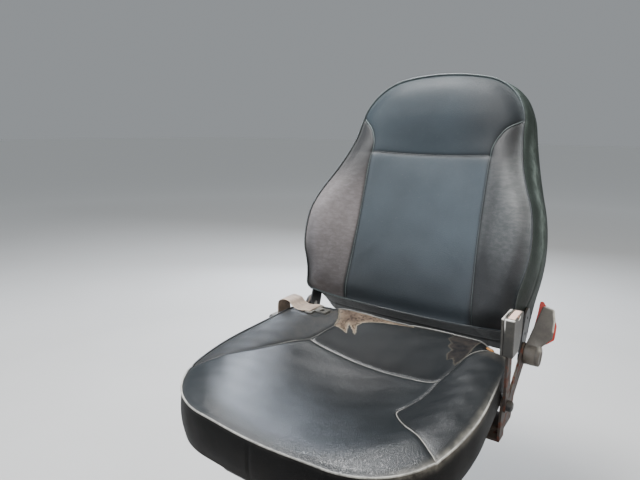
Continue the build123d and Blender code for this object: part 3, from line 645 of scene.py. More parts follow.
def beltDent(x, y, z):
    # how far the bolster gives way under the strap and tongue: what stands above their
    # underside, with the limit rising by 25 mm towards the edges of the dent
    (x0, x1), (y0, y1) = cushion["dentX"], cushion["dentY"]
    share = rise(x, x0 - 20, x0) * rise(-x, -x1 - 16, -x1) * rise(y, y0 - 14, y0) * rise(-y, -y1 - 14, -y1)
    return np.maximum(z - cushion["dentZ"] - 25 * (1 - share), 0)


def skirtWrinkles(side, wall):
    # sideways waves along the skirt, fading to nothing at the piping
    x, y = side[..., 0], side[..., 1]
    return np.sin(math.pi * wall) * ripple(x, y, [(0.35, 67, 0.7, 0.4), (0.18, 41, 2.4, 1.2)])


def shares(count, power=1.0, first=0.0, last=1.0, skipFirst=True):
    # evenly spaced shares, crowded towards the last one by a power below 1
    t = np.linspace(0, 1, count + 1 if skipFirst else count)
    t = t[1:] if skipFirst else t
    return first + (last - first) * t ** power


def buildCushion():
    coarseTop, coarseSide, coarseLow = shares(24, 0.85), shares(9), shares(6, 1, 1, 0.05)
    rings, middle = cushionRings(120, coarseTop, coarseSide, coarseLow, details=False)
    top = (*middle, float(cushionTop(np.array(middle[0]), np.array(middle[1]))))
    low = (*middle, cushion["lowZ"])
    seams = cushionSeams()
    gap = np.full(rings.shape[:2], 1e3)
    for run in seams.values():
        gap = np.minimum(gap, distanceTo(run, rings[..., 0], rings[..., 1])[0])
    ringRow = np.concatenate([coarseTop, 1 + coarseSide, 3 - coarseLow])
    onTop = (ringRow <= 1)[:, None]
    rim = hill((ringRow - 1)[:, None], 0.05)
    held = np.clip(np.where(onTop, hill(gap, 9), 0) + rim + (ringRow > 1.9)[:, None], 0, 1)
    lift = inflate(rings * mm, np.array(top) * mm, np.array(low) * mm, held,
                   {"mass": 0.35, "stretch": 26, "shear": 12, "bend": 6, "pressure": 4, "cap": 0.004, "poleRings": 7})
    fineTop, fineSide, fineLow = shares(122, 0.8), shares(34), shares(10, 1, 1, 0.04)
    columns = 480
    rings, middle = cushionRings(columns, fineTop, fineSide, fineLow)
    fineRow = np.concatenate([fineTop, 1 + fineSide, 3 - fineLow])
    wide = carryLift(lift, ringRow, fineRow, columns) / mm
    wide = wide * np.where(fineRow <= 2, 1, 0)[:, None]
    rings = rings + wide[..., None] * gridNormals(rings)
    rings[..., 2] -= beltDent(*np.moveaxis(rings, 2, 0))
    topZ = rings[:3, :, 2].mean() + 0.0
    piece = shellPiece("cushionCover", rings * mm, np.array([*middle, topZ]) * mm, np.array(low) * mm)
    cushion["grid"] = rings
    cushion["shares"] = fineTop
    cushion["middle"] = middle
    cushion["loop"] = rings[len(fineTop) - 1]
    saveCushionFields(piece, rings, seams, fineRow)
    print("cushion cover: lift", round(float(np.abs(wide).max()), 2), "mm,", len(piece.data.polygons), "faces")
    return piece


def onCushion(x, y, lift=0.0):
    # points on the finished cushion's face above plan points, in millimetres
    gap = np.stack([x, y], -1) - cushion["middle"]
    loop = cushion["loop"][:, :2]
    angle = np.arctan2(gap[..., 1], gap[..., 0])
    column = columnAt(loop, cushion["middle"], angle)
    share = np.hypot(gap[..., 0], gap[..., 1]) / polarRadius(loop, cushion["middle"], angle)
    row = np.interp(np.clip(share, 0, 1), cushion["shares"], np.arange(len(cushion["shares"])))
    z = readGrid(cushion["grid"][..., 2], row, column)
    return np.stack([x, y, z + lift], -1)


def insideRun(run, x, y, side):
    # 1 where x lies outside the seam at that y, fading over a few millimetres
    order = np.argsort(run[:, 1])
    edge = np.interp(y, run[order, 1], run[order, 0])
    return rise(side * (x - edge), -2, 3)


def saveCushionFields(piece, rings, seams, fineRow):
    # what the material reads at each point: seam shade, wear, dust, bolsters, skirt, tears, and painted shade on the
    # skirt, the rear panel and the middle of the seat
    x, y, z = rings[..., 0], rings[..., 1], rings[..., 2]
    onTop = (fineRow <= 1.0)[:, None] * np.ones_like(x)
    gap = np.full(x.shape, 1e3)
    for run in seams.values():
        gap = np.minimum(gap, distanceTo(run, x, y)[0])
    seam = onTop * hill(gap, 3.2)
    outline = cushion["loop"][None, :, :2]
    rimGap = np.linalg.norm(rings[..., :2] - outline, axis=2) + np.abs(z - cushion["loop"][None, :, 2])
    rightSide = rise(x, 150, 225) * rise(-y, -60, 120)
    wearAndHighlight = hill(rimGap, 4) * (0.15 + 0.6 * rightSide) + 0.45 * hill(rimGap - 5, 6) * rightSide
    left = insideRun(seams["leftSeam"], x, y, -1) * onTop * rise(-x, 90, 120)
    right = insideRun(seams["rightSeam"], x, y, 1) * onTop * rise(x, 110, 130)
    dust = left * (0.25 + rise(y, 40, 130) * 0.4) + right * rise(y, 80, 125) * 0.6
    rear = onTop * rise(y, 100, 155) * rise(x, -70, -20)
    dust = np.clip(dust + 0.15 * rear + (1 - onTop) * 0.08 * rise(rimGap, 0, 40), 0, 1)
    join = hill(x - cushion["frontJoin"], 1.6) * (y < -200) * (1 - onTop)
    tear = np.maximum(insideBy(cushion["leftTear"], x, y), insideBy(cushion["rightTear"], x, y))
    tear = np.where(onTop > 0, tear, -60)
    deepTear = np.where(insideBy(cushion["leftTear"], x, y) > insideBy(cushion["rightTear"], x, y), 1.0, 0.0)
    # painted shade: the skirt is darkened, more towards the rear
    shade = (1 - onTop) * (0.6 + 0.4 * rise(y, 100, 160))
    cross = np.interp(x, *seams["crossSeam"].T)
    rearPanel = rise(y - cross, 0, 6) * (1 - left) * (1 - right) * onTop * rise(x, -130, -110)
    # painted shade on the rear panel and over the middle of the seat
    shade = shade + 0.45 * rearPanel + 0.7 * onTop * hill((x - 20) / 1.7, 70) * hill(y + 20, 75)
    cushion["dullPanel"] = rearPanel + left > 0.5
    for name, values in (("seamShade", np.maximum(seam, join)), ("wearAndHighlight", wearAndHighlight), ("dust", dust),
                         ("bolster", np.clip(left + right, 0, 1)), ("skirt", 1 - onTop),
                         ("tear", tear), ("deepTear", deepTear), ("shade", shade)):
        saveField(piece, name, np.concatenate([values.ravel(), [-60.0 if name == "tear" else 0.0, 0.0]]))


# Backrest, in its own plane: u across, v up along the back, w out of its face

back = {
    "origin": (190, 390),
    "lean": 16.4,
    "outline": [(0, 508), (98, 498), (190, 404), (228, 250), (241, 84), (233, -8), (200, -45)],
    "piping": [(0, 506), (92, 496), (178, 396), (216, 250), (231, 84), (229, 18), (213, 1), (0, -11)],
    "sag": -12,
    "rollOver": 7,
    "centre": (0, 196),
    "profile": [(-62, -30), (-4, 36), (90, 72), (180, 68), (360, 9), (530, -18)],
    "trough": 354,
    "rearW": -91.5,
    "rearRound": 30,
    "bulge": 6,
    "headSeam": [(-130, 326), (0, 327), (130, 326)],
    "leftSeam": [(-131, 326), (-132, 170), (-135, 60), (-138, -4)],
    "rightSeam": [(131, 326), (135, 170), (142, 60), (148, -4)],
    "leftCurve": [(-130, 324), (-132, 350), (-146, 380), (-174, 405)],
    "rightCurve": [(130, 324), (133, 350), (148, 380), (176, 402)],
}


def fromBack(local):
    # u, v, w in millimetres to x, y, z: the plane leans back by the angle about x
    lean = math.radians(back["lean"])
    y0, z0 = back["origin"]
    u, v, w = local[..., 0], local[..., 1], local[..., 2]
    y = y0 + v * math.sin(lean) - w * math.cos(lean)
    z = z0 + v * math.cos(lean) + w * math.sin(lean)
    return np.stack([u, y, z], -1)


def backFace(u, v):
    # the lower of the trough and the side profile, rounded where they meet:
    # trough w = R - sqrt(R2 - u2), profile w read from its corners and smoothed
    table = np.arange(-80, 560, 2.0)
    line = np.interp(table, *np.array(back["profile"], float).T)
    kernel = np.exp(-(np.arange(-30, 31) * 2.0 / 17) ** 2)
    line = np.convolve(np.pad(line, 30, mode="edge"), kernel / kernel.sum(), mode="valid")
    profile = np.interp(v, table, line)
    trough = back["trough"] - np.sqrt(back["trough"] ** 2 - np.clip(u, -300, 300) ** 2)
    face = softLower(profile + 5, trough, 16)
    head = rise(v, 330, 420) * np.clip(1 - (u / 190) ** 2, 0, 1)
    return face + 7 * head


def backSeams():
    return {name: smoothCurve(back[name], 60)
            for name in ("headSeam", "leftSeam", "rightSeam", "leftCurve", "rightCurve")}


def backWrinkles(u, v):
    # slack of the bolsters' covers: long shallow folds along the height, and almost none inside
    side = rise(np.abs(u), 135, 175) * rise(-v, -370, -300)
    waves = ripple(u, v, [(0.22, 118, 0.5, 0.2), (0.15, 83, 1.3, 1.1)])
    folds = side * ripple(u, v, [(0.34, 71, 0.35, 0.4), (0.22, 47, 2.75, 2.1), (0.12, 33, 1.35, 0.7)])
    return waves + folds


def backRings(columns, faceShares, sideShares, rearShares, details=True):
    # rings of the cover: middle + share * (piping - middle), over the gusset, then inwards
    outline = evenLoop(tangentOutline(back["outline"], (1, 0)), columns)
    piping = tangentOutline(back["piping"], (1, 0))
    under = (piping[:, 1] < 60) & (np.abs(piping[:, 0]) < 213)
    piping[under, 1] = back["sag"] * (1 - (piping[under, 0] / 213) ** 2) + 1
    middle = np.array(back["centre"], float)
    gap = outline - middle
    angle = np.arctan2(gap[:, 1], gap[:, 0])
    away = gap / np.linalg.norm(gap, axis=1)[:, None]
    rim = middle + polarRadius(piping, middle, angle)[:, None] * away
    share = np.asarray(faceShares)[:, None, None]
    plan = middle + share * (rim - middle)
    u, v = plan[..., 0], plan[..., 1]
    w = backFace(u, v)
    edge = (1 - share[..., 0]) * np.linalg.norm(rim - middle, axis=1)
    w = w + 3.5 * (1 - hill(edge, 30)) - back["rollOver"] * hill(edge, 22)
    if details:
        seams = backSeams()
        w = w - seamDepth(u, v, {"headSeam": seams["headSeam"]}, 9, 1.0, 1.6)
        w = w - seamDepth(u, v, {k: seams[k] for k in seams if k != "headSeam"}, 8, 1.3, 1.1)
        w = w + backWrinkles(u, v) * (1 - hill(edge, 16))
    face = np.stack([u, v, w], -1)
    t = np.asarray(sideShares)[:, None]
    wall, turn = np.clip(t / 0.7, 0, 1), np.clip((t - 0.7) / 0.3, 0, 1)
    low = rise(-rim[:, 1], -95, -25)
    bulge = back["bulge"] * (1 - low)
    rimW = face[-1, :, 2]
    rearW = back["rearW"] + back["rearRound"]
    ahead = np.roll(outline, -1, 0) - np.roll(outline, 1, 0)
    outward = np.stack([-ahead[:, 1], ahead[:, 0]], 1)
    outward *= np.sign((outward * gap).sum(1))[:, None]
    outward /= np.linalg.norm(outward, axis=1)[:, None]
    side = np.empty((len(sideShares), columns, 3))
    reach = rim + wall[..., None] * (outline - rim)
    inset = back["rearRound"] * (1 - np.cos(turn * math.pi / 2))
    out = bulge * np.sin(math.pi * wall) ** 0.8 - inset
    if details:
        out = out + (1 - low) * np.sin(math.pi * wall) * ripple(
            rim[None, :, 1] + 0 * wall, 120 * wall, [(0.8, 74, 0.2, 0.3), (0.5, 43, 0.5, 1.2)])
        out = out - 1.6 * hill((wall - 0.55) * 120, 4) * (turn <= 0)
    side[..., :2] = reach + out[..., None] * outward
    side[..., 2] = rimW + (rearW - rimW) * wall - back["rearRound"] * np.sin(turn * math.pi / 2)
    last = side[-1, :, :2]
    share = np.asarray(rearShares)[:, None, None]
    rear = np.empty((len(rearShares), columns, 3))
    rear[..., :2] = middle + share * (last - middle)
    rear[..., 2] = back["rearW"]
    return np.concatenate([face, side, rear]), middle


def buildBack():
    coarseFace, coarseSide, coarseRear = shares(26, 0.85), shares(11), shares(6, 1, 1, 0.05)
    rings, middle = backRings(120, coarseFace, coarseSide, coarseRear, details=False)
    faceW = float(backFace(np.array(middle[0]), np.array(middle[1])))
    seams = backSeams()
    gap = np.full(rings.shape[:2], 1e3)
    for run in seams.values():
        gap = np.minimum(gap, distanceTo(run, rings[..., 0], rings[..., 1])[0])
    ringRow = np.concatenate([coarseFace, 1 + coarseSide, 3 - coarseRear])
    onFace = (ringRow <= 1)[:, None]
    rim = hill((ringRow - 1)[:, None], 0.05)
    held = np.clip(np.where(onFace, hill(gap, 9), 0) + rim + (ringRow > 1.7)[:, None], 0, 1)
    poles = fromBack(np.array([[*middle, faceW], [*middle, back["rearW"]]])) * mm
    lift = inflate(fromBack(rings) * mm, poles[0], poles[1], held,
                   {"mass": 0.35, "stretch": 30, "shear": 14, "bend": 8, "pressure": 4, "cap": 0.004, "poleRings": 8})
    fineFace, fineSide, fineRear = shares(118, 0.85), shares(44), shares(10, 1, 1, 0.04)
    columns = 500
    rings, middle = backRings(columns, fineFace, fineSide, fineRear)
    fineRow = np.concatenate([fineFace, 1 + fineSide, 3 - fineRear])
    wide = carryLift(lift, ringRow, fineRow, columns) / mm
    wide = wide * np.where(fineRow <= 1.7, 1, 0)[:, None]
    placed = fromBack(rings)
    placed = placed + wide[..., None] * gridNormals(placed)
    poles = np.stack([placed[0].mean(0), poles[1] / mm])
    piece = shellPiece("backCover", placed * mm, poles[0] * mm, poles[1] * mm)
    back["grid"] = placed
    back["shares"] = fineFace
    back["middle"] = middle
    back["loop"] = rings[len(fineFace) - 1]
    back["rim"] = placed[len(fineFace) - 1]
    back["sideShares"] = fineSide
    saveBackFields(piece, rings, seams, fineRow)
    print("back cover: lift", round(float(np.abs(wide).max()), 2), "mm,", len(piece.data.polygons), "faces")
    return piece


def onBack(u, v, lift=0.0):
    # points on the finished face of the backrest, moved out along w by lift millimetres
    gap = np.stack([u, v], -1) - back["middle"]
    loop = back["loop"][:, :2]
    angle = np.arctan2(gap[..., 1], gap[..., 0])
    column = columnAt(loop, back["middle"], angle)
    share = np.hypot(gap[..., 0], gap[..., 1]) / polarRadius(loop, back["middle"], angle)
    row = np.interp(np.clip(share, 0, 1), back["shares"], np.arange(len(back["shares"])))
    lean = math.radians(back["lean"])
    out = np.array([0, -math.cos(lean), math.sin(lean)])
    return readGrid(back["grid"], row, column) + lift * out


def saveBackFields(piece, rings, seams, fineRow):
    # what the material reads at each point: seam shade, wear with a painted highlight streak on the gusset, dust,
    # bolsters, the left one's pale grey with a painted sheen, the gusset, and painted shade
    u, v = rings[..., 0], rings[..., 1]
    onFace = (fineRow <= 1.0)[:, None] * np.ones_like(u)
    gap = np.full(u.shape, 1e3)
    for run in seams.values():
        gap = np.minimum(gap, distanceTo(run, u, v)[0])
    seam = onFace * hill(gap, 3.4)
    rimGap = np.linalg.norm(rings - back["loop"][None], axis=2)
    wearAndHighlight = hill(rimGap, 8) * (0.35 + 0.5 * rise(v, 250, 480)) * rise(v, 0, 40)
    edge = np.interp(v, [-20, 60, 170, 324, 350, 378, 405], [143, 139, 133, 131, 133, 148, 178])
    left = rise(-u - edge, -2, 3) * onFace * rise(-v, -410, -395)
    right = rise(u - edge, -2, 3) * onFace * rise(-v, -410, -395)
    dust = left * 0.3 + 0.15 * onFace * rise(v, 430, 495)
    # painted shade: the gusset strip below the lower seam is darkened towards near black
    shade = (1 - onFace) * rise(-v, -60, -10)
    # painted shade on the face: darker towards the bottom, over the head panel, in two bands along the right bolster,
    # up the left bolster and along its outer edge
    paintedShadeOnFace = 0.6 * rise(-v, -190, -20) + 0.3 * rise(v, 318, 335) + 0.5 * rise(u, 130, 150) * rise(-v, -200, -80)
    paintedShadeOnFace = paintedShadeOnFace + 0.85 * left * rise(v, 190, 330) + 0.5 * rise(u, 20, 140) * rise(v, 280, 335)
    paintedShadeOnFace = paintedShadeOnFace + right * rise(v, 20, 90) * (0.5 * hill(u - 153, 15) + 0.5 * hill(u - 222, 12))
    paintedShadeOnFace = paintedShadeOnFace + 0.35 * left * hill(u + 224, 12) * rise(-v, -260, -60)
    back["headPanel"] = onFace * rise(v, 326, 328) * (1 - left) * (1 - right) > 0.5
    # the face's painted shade, and painted shade over the lower gusset, go into the shade field
    shade = np.clip(shade + onFace * paintedShadeOnFace + (1 - onFace) * 0.35 * rise(-v, -190, -60), 0, 1)
    # painted highlight: a pale vertical streak down the right gusset, added to the wear field
    paintedHighlightStreak = hill(fineRow - 1.33, 0.11)[:, None] * rise(v, 90, 190) * rise(-v, -420, -300) * (u > 0)
    wearAndHighlight = np.clip(wearAndHighlight + paintedHighlightStreak, 0, 1)
    for name, values in (("seamShade", seam), ("wearAndHighlight", wearAndHighlight), ("dust", np.clip(dust, 0, 1)),
                         # the left bolster's pale grey, fading towards the top: faded vinyl together with a painted
                         # sheen
                         ("bolster", np.maximum(right, left)), ("fadedAndSheen", left * (1 - 0.75 * rise(v, 235, 330))),
                         ("skirt", 1 - onFace),
                         ("tear", np.full(u.shape, -60.0)), ("shade", shade)):
        saveField(piece, name, np.concatenate([values.ravel(), [0.0, 0.0]]))


cushionCover = buildCushion()
backCover = buildBack()


# Finishes

def startMaterial(name):
    material = bpy.data.materials.new(name)
    material.use_nodes = True
    tree = material.node_tree
    tree.nodes.clear()
    out = tree.nodes.new("ShaderNodeOutputMaterial")
    shader = tree.nodes.new("ShaderNodeBsdfPrincipled")
    tree.links.new(shader.outputs["BSDF"], out.inputs["Surface"])
    return material, tree, shader


def objectPlace(tree):
    return addNode(tree, "ShaderNodeTexCoord").outputs["Object"]


def noise(tree, place, scale, detail=4.0, rough=0.55, warp=0.0):
    # noise whose features are about 1 / scale metres wide, from 0 to 1
    return addNode(tree, "ShaderNodeTexNoise", Vector=place, Scale=scale, Detail=detail,
                   Roughness=rough, Distortion=warp).outputs["Fac"]


def ramp(tree, value, low, high, first=0.0, last=1.0):
    # first below low and last above high, straight between them
    node = addNode(tree, "ShaderNodeMapRange", {"clamp": True}, Value=value)
    for name, number in (("From Min", low), ("From Max", high), ("To Min", first), ("To Max", last)):
        node.inputs[name].default_value = number
    return node.outputs["Result"]


def math2(tree, operation, a, b=0.0):
    return addNode(tree, "ShaderNodeMath", {"operation": operation}, i0=a, i1=b).outputs[0]


def mixColour(tree, share, a, b, way="MIX"):
    node = addNode(tree, "ShaderNodeMix", {"data_type": "RGBA", "blend_type": way})
    for index, value in ((0, share), (6, a), (7, b)):
        if hasattr(value, "is_output"):
            tree.links.new(value, node.inputs[index])
        else:
            node.inputs[index].default_value = value
    return node.outputs[2]


def field(tree, name):
    return addNode(tree, "ShaderNodeAttribute", {"attribute_name": name}).outputs["Fac"]


def bump(tree, height, distance, strength=1.0, normal=None):
    node = addNode(tree, "ShaderNodeBump", Height=height, Distance=distance, Strength=strength)
    if normal is not None:
        tree.links.new(normal, node.inputs["Normal"])
    return node.outputs["Normal"]


def grainHeight(tree, place, grainWidth):
    # pressed leather grain: cells about grainWidth metres wide with soft valleys
    cells = addNode(tree, "ShaderNodeTexVoronoi", {"feature": "DISTANCE_TO_EDGE"},
                    Vector=place, Scale=1 / grainWidth).outputs["Distance"]
    return ramp(tree, cells, 0.0, 0.22)


def vinylMaterial(name, look):
    # PVC-coated cloth, embossed and padded: a plastic gloss over a near black ground, greyed by sun and dust, pale grey
    # on the left bolster with a painted sheen, rubbed pale at the rim with a painted highlight streak on the gusset,
    # darkened by painted shade, and peeled to its brown cloth where it is torn
    material, tree, shader = startMaterial(name)
    place = objectPlace(tree)
    colour = mixColour(tree, ramp(tree, noise(tree, place, 7, 5, 0.6), 0.35, 0.68),
                       linear(look["base"]), linear(look["light"]))
    colour = mixColour(tree, field(tree, "bolster"), colour, linear(look["bolster"]))
    # the left bolster's pale grey: sun-faded vinyl together with a painted sheen
    colour = mixColour(tree, field(tree, "fadedAndSheen"), colour, linear(look["fadedAndSheen"]))
    colour = mixColour(tree, field(tree, "skirt"), colour, linear(look["skirt"]))
    stretched = addNode(tree, "ShaderNodeMapping", Vector=place)
    stretched.inputs["Scale"].default_value = (1.0, 1.0, 0.3)
    streaks = noise(tree, stretched.outputs[0], 48, 7, 0.68, 0.3)
    dusty = math2(tree, "MULTIPLY", field(tree, "dust"), ramp(tree, streaks, 0.38, 0.66))
    colour = mixColour(tree, math2(tree, "MULTIPLY", dusty, look["dustShare"]), colour, linear(look["dust"]))
    flattened = addNode(tree, "ShaderNodeMapping", Vector=place)
    flattened.inputs["Scale"].default_value = (0.55, 1.0, 1.5)
    mottle = noise(tree, flattened.outputs[0], 120, 5, 0.62, 0.4)
    slack = math2(tree, "ADD", math2(tree, "MULTIPLY", field(tree, "bolster"), 0.7), field(tree, "fadedAndSheen"))
    rubbed = math2(tree, "MULTIPLY", ramp(tree, mottle, 0.42, 0.66, 0, look["mottle"]), slack)
    colour = mixColour(tree, rubbed, colour, linear("#9a9497"))
    speck = ramp(tree, noise(tree, place, 330, 2), 0.68, 0.73)
    colour = mixColour(tree, math2(tree, "MULTIPLY", speck, 0.16), colour, linear(look["dust"]))
    seam = math2(tree, "MULTIPLY", field(tree, "seamShade"), 0.8)
    colour = mixColour(tree, seam, colour, linear("#0b0d0e"))
    # painted shade: the shade field darkens the colour towards near black
    colour = mixColour(tree, math2(tree, "MULTIPLY", field(tree, "shade"), 0.92), colour, linear("#08090a"))
    # pale rim wear, and on the gusset a painted highlight streak
    wornAndHighlight = math2(tree, "MULTIPLY", field(tree, "wearAndHighlight"), ramp(tree, noise(tree, place, 60, 8, 0.72), 0.3, 0.72))
    colour = mixColour(tree, math2(tree, "MULTIPLY", wornAndHighlight, look["wearShare"]), colour, linear(look["wearAndHighlight"]))
    ragged = math2(tree, "MULTIPLY", math2(tree, "SUBTRACT", noise(tree, place, 190, 4, 0.6), 0.5), 6.0)
    inside = math2(tree, "ADD", field(tree, "tear"), ragged)
    torn = ramp(tree, inside, -0.4, 0.4)
    fringe = math2(tree, "MULTIPLY", ramp(tree, inside, -1.8, -0.4), ramp(tree, inside, 1.6, 0.2))
    weaveFine = noise(tree, place, 210, 6, 0.7)
    backing = mixColour(tree, ramp(tree, noise(tree, place, 34, 7, 0.66), 0.34, 0.62),
                        linear("#352b26"), linear("#64564a"))
    backing = mixColour(tree, ramp(tree, inside, 0, 14, 0.85, 0.0), backing, linear("#8d7b68"))
    # dark lines along the cloth's folds: painted shade in its creases
    folds = noise(tree, place, 30, 3, 0.5, 2.4)
    creased = math2(tree, "MULTIPLY", ramp(tree, folds, 0.455, 0.49), ramp(tree, folds, 0.54, 0.505))
    backing = mixColour(tree, math2(tree, "MULTIPLY", creased, 0.85), backing, linear("#1d1713"))
    backing = mixColour(tree, ramp(tree, weaveFine, 0.3, 0.75, 0.0, 0.45), backing, linear("#3d342d"))
    shallow = mixColour(tree, ramp(tree, streaks, 0.36, 0.6), linear("#121315"), linear("#2b2724"))
    backing = mixColour(tree, field(tree, "deepTear"), shallow, backing)
    colour = mixColour(tree, torn, colour, backing)
    fringe = math2(tree, "MULTIPLY", fringe, ramp(tree, field(tree, "deepTear"), 0, 1, 0.15, 0.6))
    colour = mixColour(tree, fringe, colour, linear("#8f8878"))
    tree.links.new(colour, shader.inputs["Base Color"])
    shader.inputs["IOR"].default_value = 1.53
    shader.inputs["Specular IOR Level"].default_value = look["specular"]
    shader.inputs["Sheen Weight"].default_value = look["sheen"]
    shader.inputs["Sheen Roughness"].default_value = 0.5
    shader.inputs["Sheen Tint"].default_value = linear("#c4d0d6")
    gloss = ramp(tree, noise(tree, place, 24, 3, 0.5), 0.3, 0.7, look["rough"] - 0.025, look["rough"] + 0.03)
    gloss = math2(tree, "ADD", gloss, math2(tree, "MULTIPLY", dusty, 0.22))
    gloss = math2(tree, "ADD", gloss, math2(tree, "MULTIPLY", wornAndHighlight, 0.2))
    gloss = math2(tree, "ADD", gloss, math2(tree, "MULTIPLY", torn, 0.45))
    gloss = math2(tree, "ADD", gloss, math2(tree, "MULTIPLY", field(tree, "shade"), 0.06))
    tree.links.new(gloss, shader.inputs["Roughness"])
    grain = grainHeight(tree, place, look["grain"] * mm)
    first = bump(tree, grain, 0.0002, 0.7)
    creases = addNode(tree, "ShaderNodeMapping", Vector=place)
    creases.inputs["Scale"].default_value = (1.0, 0.6, 0.45)
    creases.inputs["Rotation"].default_value = (0.3, 0.5, 0.2)
    creases = noise(tree, creases.outputs[0], 95, 6, 0.62, 0.5)
    first = bump(tree, math2(tree, "MULTIPLY", mottle, slack), 0.25 * mm, 0.5, first)
    first = bump(tree, math2(tree, "MULTIPLY", creases, math2(tree, "ADD", slack, 0.03)),
                 look["creaseDepth"] * mm, 0.5, first)
    first = bump(tree, math2(tree, "MULTIPLY", torn, math2(tree, "SUBTRACT", weaveFine, 1.6)), 0.0012, 0.8, first)
    tree.links.new(bump(tree, noise(tree, place, 17, 2, 0.4), 0.0004, 0.4, first), shader.inputs["Normal"])
    return material


def pipingMaterial(name, look):
    # vinyl drawn over a cord: black, rubbed through to pale thread where its "rubbed" field is high
    material, tree, shader = startMaterial(name)
    place = objectPlace(tree)
    patches = ramp(tree, noise(tree, place, look["patch"], 7, 0.66), 0.3, 0.62)
    scuffs = ramp(tree, noise(tree, place, 260, 4, 0.6), 0.35, 0.65)
    amount = math2(tree, "MULTIPLY", field(tree, "rubbed"), ramp(tree, patches, 0, 1, 0.35, 1.25))
    share = math2(tree, "MULTIPLY", amount, ramp(tree, scuffs, 0, 1, 0.55, 1.0))
    colour = mixColour(tree, ramp(tree, share, 0.05, 0.8), linear(look["base"]), linear(look["rubbed"]))
    tree.links.new(colour, shader.inputs["Base Color"])
    tree.links.new(ramp(tree, share, 0, 1, 0.36, 0.75), shader.inputs["Roughness"])
    tree.links.new(bump(tree, scuffs, 0.0003, 0.6), shader.inputs["Normal"])
    shader.inputs["IOR"].default_value = 1.53
    return material


def pipingThread(name):
    # bonded nylon thread, three twisted plies: nearly black with a soft gloss
    material, tree, shader = startMaterial(name)
    place = objectPlace(tree)
    plies = ramp(tree, noise(tree, place, 900, 2), 0.35, 0.65)
    colour = mixColour(tree, plies, linear("#0c0e0f"), linear("#2b2f31"))
    tree.links.new(colour, shader.inputs["Base Color"])
    shader.inputs["Roughness"].default_value = 0.5
    tree.links.new(bump(tree, plies, 0.0001, 0.6), shader.inputs["Normal"])
    return material


def enamelMaterial(name, look):
    # enamel over steel: even colour, dust settled on what faces up, chips down to rust
    material, tree, shader = startMaterial(name)
    place = objectPlace(tree)
    colour = mixColour(tree, ramp(tree, noise(tree, place, 14, 5), 0.35, 0.7),
                       linear(look["base"]), linear(look["light"]))
    up = addNode(tree, "ShaderNodeSeparateXYZ", Vector=addNode(tree, "ShaderNodeNewGeometry").outputs["Normal"])
    settled = math2(tree, "MULTIPLY", ramp(tree, up.outputs["Z"], 0.25, 0.95),
                    ramp(tree, noise(tree, place, 22, 6, 0.65), 0.3, 0.65))
    colour = mixColour(tree, math2(tree, "MULTIPLY", settled, look["dustShare"]), colour, linear(look["dust"]))
    chips = ramp(tree, noise(tree, place, look["chipScale"], 7, 0.68, 0.3), look["chipLow"], look["chipLow"] + 0.05)
    rust = mixColour(tree, ramp(tree, noise(tree, place, 160, 4), 0.35, 0.65),
                     linear(look["rust"]), linear(look["rustLight"]))
    colour = mixColour(tree, chips, colour, rust)
    tree.links.new(colour, shader.inputs["Base Color"])
    rough = math2(tree, "ADD", ramp(tree, chips, 0, 1, look["rough"], 0.85),
                  math2(tree, "MULTIPLY", settled, 0.3))
    tree.links.new(rough, shader.inputs["Roughness"])
    shader.inputs["IOR"].default_value = 1.5
    first = bump(tree, noise(tree, place, 420, 3), 0.00015, 0.35)
    tree.links.new(bump(tree, math2(tree, "MULTIPLY", chips, -1.0), 0.0003, 0.6, first), shader.inputs["Normal"])
    return material


def steelMaterial(name, look):
    # drawn or zinc-plated steel: metallic, dulled, with oil and brown bloom in patches
    material, tree, shader = startMaterial(name)
    place = objectPlace(tree)
    lines = addNode(tree, "ShaderNodeMapping", Vector=place)
    lines.inputs["Scale"].default_value = look["stretch"]
    brushed = noise(tree, lines.outputs[0], 700, 3, 0.6)
    colour = mixColour(tree, ramp(tree, brushed, 0.3, 0.7), linear(look["base"]), linear(look["light"]))
    bloom = ramp(tree, noise(tree, place, 35, 6, 0.66), look["bloomLow"], look["bloomLow"] + 0.16)
    colour = mixColour(tree, math2(tree, "MULTIPLY", bloom, 0.75), colour, linear(look["bloom"]))
    tree.links.new(colour, shader.inputs["Base Color"])
    tree.links.new(ramp(tree, bloom, 0, 1, 1.0, 0.25), shader.inputs["Metallic"])
    tree.links.new(math2(tree, "ADD", ramp(tree, brushed, 0.3, 0.7, look["rough"] - 0.05, look["rough"] + 0.07),
                         math2(tree, "MULTIPLY", bloom, 0.3)), shader.inputs["Roughness"])
    tree.links.new(bump(tree, brushed, 0.0001, 0.3), shader.inputs["Normal"])
    return material


def mouldedMaterial(name, look):
    # injection-moulded ABS or polypropylene with spark texture, dusty, edges pale where the rubbed field is high:
    # polished by hands, and on the buckle also a painted highlight
    material, tree, shader = startMaterial(name)
    place = objectPlace(tree)
    colour = mixColour(tree, ramp(tree, noise(tree, place, 25, 5), 0.35, 0.7),
                       linear(look["base"]), linear(look["light"]))
    up = addNode(tree, "ShaderNodeSeparateXYZ", Vector=addNode(tree, "ShaderNodeNewGeometry").outputs["Normal"])
    settled = math2(tree, "MULTIPLY", ramp(tree, up.outputs["Z"], 0.1, 0.95),
                    ramp(tree, noise(tree, place, 60, 6, 0.7), 0.35, 0.65))
    colour = mixColour(tree, math2(tree, "MULTIPLY", settled, look["dustShare"]), colour, linear(look["dust"]))
    smears = ramp(tree, noise(tree, place, 34, 9, 0.78), 0.44, 0.76)
    colour = mixColour(tree, math2(tree, "MULTIPLY", smears, look["smear"]), colour, linear(look["dust"]))
    bare = math2(tree, "MULTIPLY", field(tree, "rubbed"), ramp(tree, noise(tree, place, 120, 6, 0.7), 0.2, 0.5))
    colour = mixColour(tree, bare, colour, linear(look["edge"]))
    tree.links.new(colour, shader.inputs["Base Color"])
    tree.links.new(math2(tree, "ADD", look["rough"], math2(tree, "MULTIPLY", settled, 0.25)),
                   shader.inputs["Roughness"])
    shader.inputs["IOR"].default_value = 1.5
    pits = noise(tree, place, 1 / (0.8 * mm), 2)
    tree.links.new(bump(tree, pits, 0.00012, 0.5), shader.inputs["Normal"])
    return material


